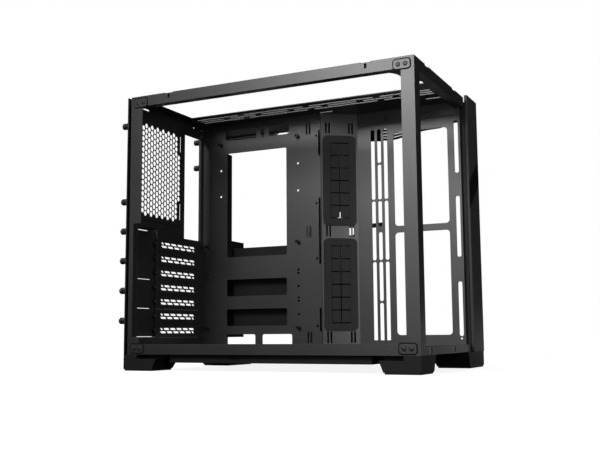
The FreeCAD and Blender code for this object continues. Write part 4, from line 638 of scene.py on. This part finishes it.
@dataclass
class RearWall(SubAssembly):
    """The rear sheet with its grille, slot covers and screw recess, and the screws of the rear."""

    head: CrossHead = CrossHead(5.6, 2.2)
    slots: int = 7
    thumb_radius: float = 4.5
    thumb_length: float = 11.5
    knurl: float = 0.28
    teeth: int = 24
    near_y: float = -127.85
    near_z: tuple[float, ...] = (66.4, 107.04, 147.68, 188.32, 228.96, 335.5)
    far_y: tuple[float, float] = (52.65, 130.15)
    far_z: tuple[float, float] = (348.0, 307.0)
    gap_light_radius: float = 0.45
    seam_highlight_radius: float = 0.5
    seam_x: float = -196.4
    seam_y: tuple[float, float] = (-69.0, 34.0)
    seam_z: tuple[float, float] = (83.56, 43.4)
    recess_x: float = -197.4
    recess_y: tuple[float, float] = (-117.5, -71.2)
    recess_z: tuple[float, float] = (44.2, 193.0)
    cap_y: float = -87.1
    cap_z: float = 193.4
    cap_x: tuple[float, float] = (-201.6, -184.5)

    def finishes(self) -> dict[Finish, tuple[str, ...]]:
        """Return the rear wall's nodes by their finish."""
        covers = tuple(f"slot_cover_{number}" for number in range(1, self.slots + 1))
        return {
            POWDER_COAT: ("rear_panel", "rear_fan_grille", "slot_screw_channel") + covers,
            BLACK_OXIDE: ("slot_screws", "rear_thumbscrews"),
        }

    def thumb_shape(self) -> tuple:
        """Turn the thumbscrew heads.

        The profile steps from a plain neck to the full shoulder, runs along it, bends over the end and
        falls into a shallow dish. Along the shoulder the radius dips with the cosine of the angle times
        the number of teeth, which cuts the knurl.

        Returns:
            Points in millimetres, and faces.
        """
        along = np.array([0.0, 0.0, 1.5, 1.6, 2.2, 2.5, 9.2, 9.5, 10.5, 11.2, 1.0, 1.0, 0.92, 0.92])
        along[10:] *= self.thumb_length
        share = np.array([0.0, 0.72, 0.72, 0.93, 1.0, 1.0, 1.0, 1.0, 0.95, 0.82, 0.68, 0.58, 0.5, 0.0])
        cut = np.array([0.0, 0.0, 0.0, 0.0, 0.0, 1.0, 1.0, 0.0, 0.0, 0.0, 0.0, 0.0, 0.0, 0.0])
        angle = np.linspace(0.0, TURN, 4 * self.teeth, endpoint=False)
        dip = self.knurl * (0.5 - 0.5 * np.cos(self.teeth * angle))
        radius = self.thumb_radius * share[:, None] - cut[:, None] * dip[None, :]
        seat = box_mm("rear_thumbscrews")[1][0]
        near = [(seat, self.near_y, z) for z in self.near_z]
        far = [(seat, y, z) for y in self.far_y for z in self.far_z]
        return turned(along, radius, np.array(near + far), Facing.REAR)

    def build(self) -> None:
        """Make the knurled thumbscrews, the domed slot screws, the painted light at the recess's gaps and the
        painted highlights on its seams.
        """
        near, far = self.recess_y
        low, high = self.recess_z
        # Pale lines at the recess's bottom and under its cap: painted light through the gaps and painted edge
        # highlight
        bright = [
            [(self.recess_x, near, low), (self.recess_x, far, low)],
            [(self.cap_x[0], self.cap_y, self.cap_z), (self.cap_x[1], self.cap_y, self.cap_z)],
        ]
        add_piece("recess_painted_gap_light", beads(np.array(bright), self.gap_light_radius), GAP_LIGHT_LINE)
        # Dimmer pale lines along the section seams and the recess's far edge: painted highlights
        dim = [[(self.seam_x, self.seam_y[0], z), (self.seam_x, self.seam_y[1], z)] for z in self.seam_z]
        dim.append([(self.recess_x, far, low), (self.recess_x, far, high)])
        add_piece("rear_seam_highlights", beads(np.array(dim), self.seam_highlight_radius), EDGE_HIGHLIGHT)
        add_piece("knurled_thumbscrews", self.thumb_shape(), BLACK_OXIDE, stands_for="rear_thumbscrews")
        low, high = box_mm("slot_screws")
        half = self.head.diameter / 2.0
        z = np.linspace(low[2] + half, high[2] - half, self.slots)
        places = np.stack([np.full_like(z, (low[0] + high[0]) / 2.0), np.full_like(z, high[1]), z], axis=-1)
        add_piece("slot_screw_heads", self.head.shape(places, Facing.WINDOW), BLACK_OXIDE,
                  stands_for="slot_screws")


@dataclass
class BoardChamber(SubAssembly):
    """The main chamber's sheets: tray, slanting cable plate, side fan bracket and top deck."""

    def finishes(self) -> dict[Finish, tuple[str, ...]]:
        """Return the main chamber's nodes by their finish."""
        return {
            POWDER_COAT: ("board_tray", "cable_plate", "cable_screen", "side_fan_bracket", "top_deck"),
            BLACK_OXIDE: ("board_standoffs",),
            SOFT_RUBBER: ("grommet_upper_seal", "grommet_lower_seal"),
        }


@dataclass
class Base(SubAssembly):
    """The floor with its dust filter, and the four feet with their pads."""

    def finishes(self) -> dict[Finish, tuple[str, ...]]:
        """Return the base's nodes by their finish."""
        corners = tuple(f"{end}_{side}" for end in ("rear", "front") for side in ("window", "far"))
        return {
            POWDER_COAT: ("case_floor",),
            MOULDED_ABS: ("filter_frame",) + tuple(f"{corner}_foot" for corner in corners),
            SOFT_RUBBER: tuple(f"{corner}_pad" for corner in corners),
            FILTER_NET: ("filter_mesh",),
        }


@dataclass
class FarChamber(SubAssembly):
    """The second chamber's drive cage, supply bracket and front wall, and the bezel before it."""

    def finishes(self) -> dict[Finish, tuple[str, ...]]:
        """Return the second chamber's nodes by their finish."""
        return {
            POWDER_COAT: ("chamber_front_wall",),
            # The cage and bracket take the darkened coat: painted shade
            SHADED_CAGE_COAT: ("drive_cage", "supply_bracket"),
            BEZEL_ABS: ("front_bezel",),
            MOULDED_ABS: ("bezel_carrier",),
        }


@dataclass
class ControlPanel(SubAssembly):
    """The control housing with its sockets, jack, button and leads."""

    head: CrossHead = CrossHead(6.5, 1.6)
    wide_tongue: tuple[float, float, float] = (5.2, 0.8, 10.5)
    small_tongue: tuple[float, float, float] = (3.3, 0.35, 11.5)
    tongue_foot: float = 360.0
    socket_y: float = 101.35
    wide_x: tuple[float, float] = (118.75, 137.75)
    small_x: float = 156.75
    jack_x: float = 169.95
    jack_top: float = 373.8
    collar_rise: tuple[float, ...] = (0.0, 0.14, 0.16, 0.1, 0.0, 0.0)
    collar_radius: tuple[float, ...] = (1.85, 1.95, 2.5, 2.75, 2.8, 1.85)
    cap_rise: tuple[float, ...] = (0.0, 0.0, 1.2, 1.2, 5.0, 5.5, 5.8, 5.9, 5.86, 5.7, 5.55, 5.5)
    cap_radius: tuple[float, ...] = (0.0, 6.7, 6.7, 5.5, 5.5, 5.36, 5.0, 4.55, 4.2, 3.8, 2.1, 0.0)
    segments: int = 96
    sleeve_segments: int = 48
    tape_x: tuple[float, ...] = (57.0, 63.0, 68.0, 74.0, 80.0, 86.0)
    tape_y: tuple[float, ...] = (89.4, 90.2, 90.6, 90.6, 90.6, 90.6)
    tape_z: tuple[float, ...] = (336.4, 337.3, 337.8, 337.4, 336.8, 336.1)
    tape_half: tuple[float, float] = (2.4, 9.3)
    clip_x: tuple[float, ...] = (69.5, 74.0, 79.0, 84.0, 88.0)
    clip_y: float = 82.0
    clip_z: tuple[float, ...] = (202.0, 202.0, 202.4, 202.6, 202.6)
    clip_half: tuple[float, float] = (1.7, 3.2)

    def finishes(self) -> dict[Finish, tuple[str, ...]]:
        """Return the control panel's nodes by their finish."""
        return {
            POWDER_COAT: ("control_bracket",),
            MOULDED_ABS: ("control_housing", "power_button", "button_switch"),
            BLACK_OXIDE: ("control_screws",),
            NICKEL: ("wide_sockets", "small_socket_shell"),
            JACK_NYLON: ("sound_jack",),
            SOLDER_MASK: ("control_board",),
            LEAD_VINYL: ("control_leads",),
            GREY_VINYL: ("grey_control_lead",),
        }

    def tongue(self, size: tuple[float, float, float], x: tuple[float, ...]) -> tuple:
        """Carry a rounded rectangle up each socket as its contact tongue.

        The outline is the curve on which the sixth powers of the two shares of the half sizes add up to
        one. It shrinks a little at the free end, and both ends close on the axis.

        Args:
            size: Half width, half thickness and height, in millimetres.
            x: Middle of each socket.

        Returns:
            Points in millimetres, and faces.
        """
        half_x, half_y, height = size
        angle = np.linspace(0.0, TURN, self.segments, endpoint=False)
        outline = (np.abs(np.cos(angle) / half_x) ** 6 + np.abs(np.sin(angle) / half_y) ** 6) ** (-1.0 / 6.0)
        along = height * np.array([0.0, 0.0, 0.94, 0.985, 1.0, 1.0])
        share = np.array([0.0, 1.0, 1.0, 0.97, 0.9, 0.0])
        places = np.array([(place, self.socket_y, self.tongue_foot) for place in x])
        return turned(along, share[:, None] * outline[None, :], places, Facing.UP)

    def round_piece(self, along: tuple, radius: tuple, place: np.ndarray) -> tuple:
        """Turn a plain profile about an upright axis.

        Args:
            along: Height of each profile point, in millimetres.
            radius: Its radius.
            place: Foot of the axis.

        Returns:
            Points in millimetres, and faces.
        """
        rings = np.repeat(np.array(radius)[:, None], self.segments, axis=1)
        return turned(np.array(along), rings, place[None], Facing.UP)

    def sleeve(self, middle: np.ndarray, half: tuple[float, float]) -> tuple:
        """Carry a flattened round section along a line.

        The section is the curve on which the fourth powers of the shares of its half depth and half height
        add up to one. It closes at both ends of the line.

        Args:
            middle: Points of the line, in millimetres.
            half: Half depth and half height of the section.

        Returns:
            Points in millimetres, and faces.
        """
        depth, height = half
        angle = np.linspace(0.0, TURN, self.sleeve_segments, endpoint=False)
        reach = (np.abs(np.cos(angle) / depth) ** 4 + np.abs(np.sin(angle) / height) ** 4) ** -0.25
        swell = np.array([0.0] + [1.0] * len(middle) + [0.0])
        middle = np.concatenate([middle[:1], middle, middle[-1:]])
        across = np.stack([np.zeros_like(angle), reach * np.cos(angle), reach * np.sin(angle)], axis=-1)
        points = middle[:, None] + swell[:, None, None] * across[None]
        return points.reshape(-1, 3), quads(len(middle), len(angle), closed=True)

    def build(self) -> None:
        """Make the tongues, the jack's collar, the dished button cap, the screws and the pieces of tape."""
        tape = np.stack([self.tape_x, self.tape_y, self.tape_z], axis=-1)
        add_piece("lead_tape", self.sleeve(tape, self.tape_half), CLOTH_TAPE)
        clip = np.stack([self.clip_x, np.full(len(self.clip_x), self.clip_y), self.clip_z], axis=-1)
        add_piece("bracket_tape", self.sleeve(clip, self.clip_half), CLOTH_TAPE)
        add_piece("wide_socket_tongues", self.tongue(self.wide_tongue, self.wide_x), JACK_NYLON)
        add_piece("small_socket_tongue", self.tongue(self.small_tongue, (self.small_x,)), JACK_NYLON)
        collar = self.round_piece(self.collar_rise, self.collar_radius,
                                  np.array((self.jack_x, self.socket_y, self.jack_top)))
        add_piece("jack_collar", collar, NICKEL)
        low, high = box_mm("power_button")
        cap = self.round_piece(self.cap_rise, self.cap_radius,
                               np.array(((low[0] + high[0]) / 2.0, (low[1] + high[1]) / 2.0, low[2])))
        add_piece("power_button_cap", cap, MOULDED_ABS, Body.BUTTON, "power_button")
        low, high = box_mm("control_screws")
        half = self.head.diameter / 2.0
        places = np.array([(x, high[1], (low[2] + high[2]) / 2.0) for x in (low[0] + half, high[0] - half)])
        add_piece("control_screw_heads", self.head.shape(places, Facing.WINDOW), BLACK_OXIDE,
                  stands_for="control_screws")


@dataclass(frozen=True)
class Panel:
    """One soft rectangular lamp: its centre, the point that it faces, its size and its power."""

    name: str
    place: tuple[float, float, float]
    aim: tuple[float, float, float]
    size: tuple[float, float]
    watts: float

    def hang(self) -> None:
        """Add the lamp to the scene."""
        data = bpy.data.lights.new(self.name, "AREA")
        data.shape = "RECTANGLE"
        data.size, data.size_y = self.size
        data.energy = self.watts
        lamp = bpy.data.objects.new(self.name, data)
        lamp.location = Vector(self.place)
        lamp.visible_camera = False
        lamp.rotation_euler = (Vector(self.aim) - Vector(self.place)).to_track_quat("-Z", "Y").to_euler()
        bpy.context.scene.collection.objects.link(lamp)


@dataclass(frozen=True)
class Flag:
    """One standing sheet of black felt that the case mirrors: its line, top and foot."""

    name: str
    start: tuple[float, float]
    end: tuple[float, float]
    top: float
    foot: float = 0.0


@dataclass
class Studio:
    """Floor, surround, felt sheets, lamps and camera."""

    eye: tuple[float, float, float] = (0.52405, -1.08065, 0.0478)
    yaw: float = 26.091
    pitch: float = 7.150
    roll: float = -0.406
    focal_px: float = 864.2
    image_width: int = 600
    ambient: float = 0.16
    floor_half: float = 12.0
    panels: tuple[Panel, ...] = (
        Panel("key_panel", (-0.4, -1.95, 1.08), (0.1, -0.1, 0.3), (0.7, 0.6), 34.0),
        Panel("side_panel", (1.5, -1.3, 0.5), (0.05, 0.05, 0.2), (0.5, 0.7), 9.5),
        Panel("low_panel", (-0.2, -2.1, 0.3), (0.2, 0.0, 0.1), (0.5, 0.4), 3.6),
        Panel("bounce_panel", (0.9, -0.5, 0.06), (0.1, 0.0, 0.34), (0.4, 0.3), 1.2),
        Panel("top_panel", (0.1, -0.2, 2.2), (0.0, 0.0, 0.2), (1.4, 1.4), 7.0),
        Panel("rear_panel_lamp", (-1.4, 0.6, 0.75), (-0.05, 0.1, 0.2), (0.8, 0.5), 16.0),
        Panel("back_panel", (-0.3, 0.55, 1.5), (0.0, 0.1, 0.2), (0.7, 0.5), 7.0),
    )
    flags: tuple[Flag, ...] = (
        Flag("back_felt", (-1.6, 0.75), (1.9, 0.75), 1.4, 0.04),
        Flag("front_felt", (-4.0, -2.6), (2.4, -2.6), 2.6),
    )
    # Left, front, right and back edge of the felt that lies on the floor
    table_felt: tuple[float, float, float, float] = (-1.3, -1.1, 1.5, 0.74)
    felt_rise: float = 0.0004
    felt_colour: str = "141414"
    clip: tuple[float, float] = (0.01, 60.0)
    sensor_mm: float = 36.0
    fibre_scale: float = 60.0
    paper_shade: tuple[float, float] = (0.28, 0.32)
    # The paper's glow near the case and far from it, and the two distances in metres
    glow_level: tuple[float, float] = (0.88, 1.0)
    glow_reach: tuple[float, float] = (0.5, 1.5)

    def camera(self) -> None:
        """Set the camera by yaw, pitch and roll, with the focal length in pixels turned to millimetres."""
        yaw, pitch, roll = (math.radians(v) for v in (self.yaw, self.pitch, self.roll))
        forward = Vector((-math.sin(yaw) * math.cos(pitch), math.cos(yaw) * math.cos(pitch), math.sin(pitch)))
        right = Vector((math.cos(yaw), math.sin(yaw), 0.0))
        up = right.cross(forward)
        side = math.cos(roll) * right + math.sin(roll) * up
        top = math.cos(roll) * up - math.sin(roll) * right
        data = bpy.data.cameras.new("photo_camera")
        data.sensor_width = self.sensor_mm
        data.lens = self.focal_px / self.image_width * data.sensor_width
        data.clip_start, data.clip_end = self.clip
        camera = bpy.data.objects.new("photo_camera", data)
        camera.matrix_world = Matrix((side, top, -forward)).transposed().to_4x4()
        camera.location = Vector(self.eye)
        bpy.context.scene.collection.objects.link(camera)
        bpy.context.scene.camera = camera

    def seen(self, tree: bpy.types.NodeTree) -> bpy.types.NodeSocket:
        """Return a socket that is 1 for camera, glossy and transmission rays.

        Args:
            tree: Node tree that takes the nodes.

        Returns:
            The socket.
        """
        path = add_node(tree, "ShaderNodeLightPath")
        pair = add_node(tree, "ShaderNodeMath", {
            0: path.outputs["Is Camera Ray"], 1: path.outputs["Is Glossy Ray"]}, operation="MAXIMUM")
        every = add_node(tree, "ShaderNodeMath", {
            0: pair.outputs[0], 1: path.outputs["Is Transmission Ray"]}, operation="MAXIMUM")
        return every.outputs[0]

    def sky(self) -> None:
        """Make the white surround, which lights the object at a lower level than it shows."""
        world = bpy.data.worlds.new("white_surround")
        bpy.context.scene.world = world
        world.use_nodes = True
        tree = world.node_tree
        tree.nodes.clear()
        soft = add_node(tree, "ShaderNodeBackground", {"Color": (1, 1, 1, 1), "Strength": self.ambient})
        white = add_node(tree, "ShaderNodeBackground", {"Color": (1, 1, 1, 1), "Strength": 1.0})
        both = add_node(tree, "ShaderNodeMixShader", {
            0: self.seen(tree), 1: soft.outputs[0], 2: white.outputs[0]})
        add_node(tree, "ShaderNodeOutputWorld", {"Surface": both.outputs[0]})

    def stage_piece(self, name: str, points: np.ndarray, material: bpy.types.Material) -> bpy.types.Object:
        """Add one sheet of the studio.

        Args:
            name: Name of the sheet.
            points: A grid of points in metres, rows by columns by three.
            material: Its material.

        Returns:
            The new object.
        """
        mesh = bpy.data.meshes.new(name)
        mesh.from_pydata(points.reshape(-1, 3).tolist(), [], quads(*points.shape[:2]).tolist())
        mesh.materials.append(material)
        sheet = bpy.data.objects.new(name, mesh)
        bpy.context.scene.collection.objects.link(sheet)
        return sheet

    def paper(self) -> bpy.types.Material:
        """Make the floor's white paper: its glow is nearly white, and its matt part keeps the shadow.

        Returns:
            The node material.
        """
        made = bpy.data.materials.new("white_paper_sweep")
        made.use_nodes = True
        tree = made.node_tree
        tree.nodes.clear()
        place = add_node(tree, "ShaderNodeTexCoord").outputs["Object"]
        fibre = add_node(tree, "ShaderNodeTexNoise", {
            "Vector": place, "Scale": self.fibre_scale, "Detail": 3.0})
        shade = add_node(tree, "ShaderNodeMapRange", {
            "Value": fibre.outputs[0], "To Min": self.paper_shade[0], "To Max": self.paper_shade[1]})
        matt = add_node(tree, "ShaderNodeBsdfDiffuse", {"Color": shade.outputs[0]})
        reach = add_node(tree, "ShaderNodeVectorMath", {0: place}, operation="LENGTH")
        level = add_node(tree, "ShaderNodeMapRange", {
            "Value": reach.outputs["Value"],
            "From Min": self.glow_reach[0], "From Max": self.glow_reach[1],
            "To Min": self.glow_level[0], "To Max": self.glow_level[1]})
        glow = add_node(tree, "ShaderNodeEmission", {"Color": (1, 1, 1, 1), "Strength": level.outputs[0]})
        lit = add_node(tree, "ShaderNodeAddShader", {0: matt.outputs[0], 1: glow.outputs[0]})
        both = add_node(tree, "ShaderNodeMixShader", {
            0: self.seen(tree), 1: matt.outputs[0], 2: lit.outputs[0]})
        add_node(tree, "ShaderNodeOutputMaterial", {"Surface": both.outputs[0]})
        return made

    def felt(self) -> bpy.types.Material:
        """Make the black felt of the standing sheets and of the one that lies down.

        Returns:
            The node material.
        """
        made = bpy.data.materials.new("black_felt")
        made.use_nodes = True
        tree = made.node_tree
        tree.nodes.clear()
        matt = add_node(tree, "ShaderNodeBsdfDiffuse", {"Color": linear(self.felt_colour)})
        add_node(tree, "ShaderNodeOutputMaterial", {"Surface": matt.outputs[0]})
        return made

    def sheets(self) -> None:
        """Lay the floor as a square grid, stand each felt as a flat grid, and lay one felt down."""
        line = np.linspace(-self.floor_half, self.floor_half, 9)
        x, y = np.meshgrid(line, line, indexing="ij")
        self.stage_piece("studio_floor", np.stack([x, y, np.zeros_like(x)], axis=-1)[:, ::-1], self.paper())
        felt = self.felt()
        for flag in self.flags:
            share, rise = np.meshgrid(
                np.linspace(0.0, 1.0, 5), np.linspace(flag.foot, flag.top, 4), indexing="ij")
            line = np.array(flag.start) + share[..., None] * (np.array(flag.end) - np.array(flag.start))
            sheet = self.stage_piece(flag.name, np.concatenate([line, rise[..., None]], axis=-1), felt)
            sheet.visible_camera = False
        left, front, right, back = self.table_felt
        x, y = np.meshgrid(np.linspace(left, right, 5), np.linspace(front, back, 5), indexing="ij")
        flat = np.stack([x, y, np.full_like(x, self.felt_rise)], axis=-1)
        sheet = self.stage_piece("table_felt", flat, felt)
        sheet.visible_camera = False
        # Lamps still reach the paper below, which shows the case's shadow
        sheet.visible_shadow = False

    def build(self) -> None:
        """Set up the camera, the surround, the sheets and the lamps."""
        bpy.context.scene.view_settings.view_transform = "Standard"
        self.camera()
        self.sky()
        self.sheets()
        for panel in self.panels:
            panel.hang()


def main() -> None:
    """Build and dress the case, then the studio."""
    logging.basicConfig(level=logging.INFO, format="%(message)s")
    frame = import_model()
    for kind in (FrameRails, RearWall, BoardChamber, Base, FarChamber, ControlPanel):
        group = kind(frame)
        group.dress()
        group.build()
    Studio().build()


if __name__ == "__main__":
    main()
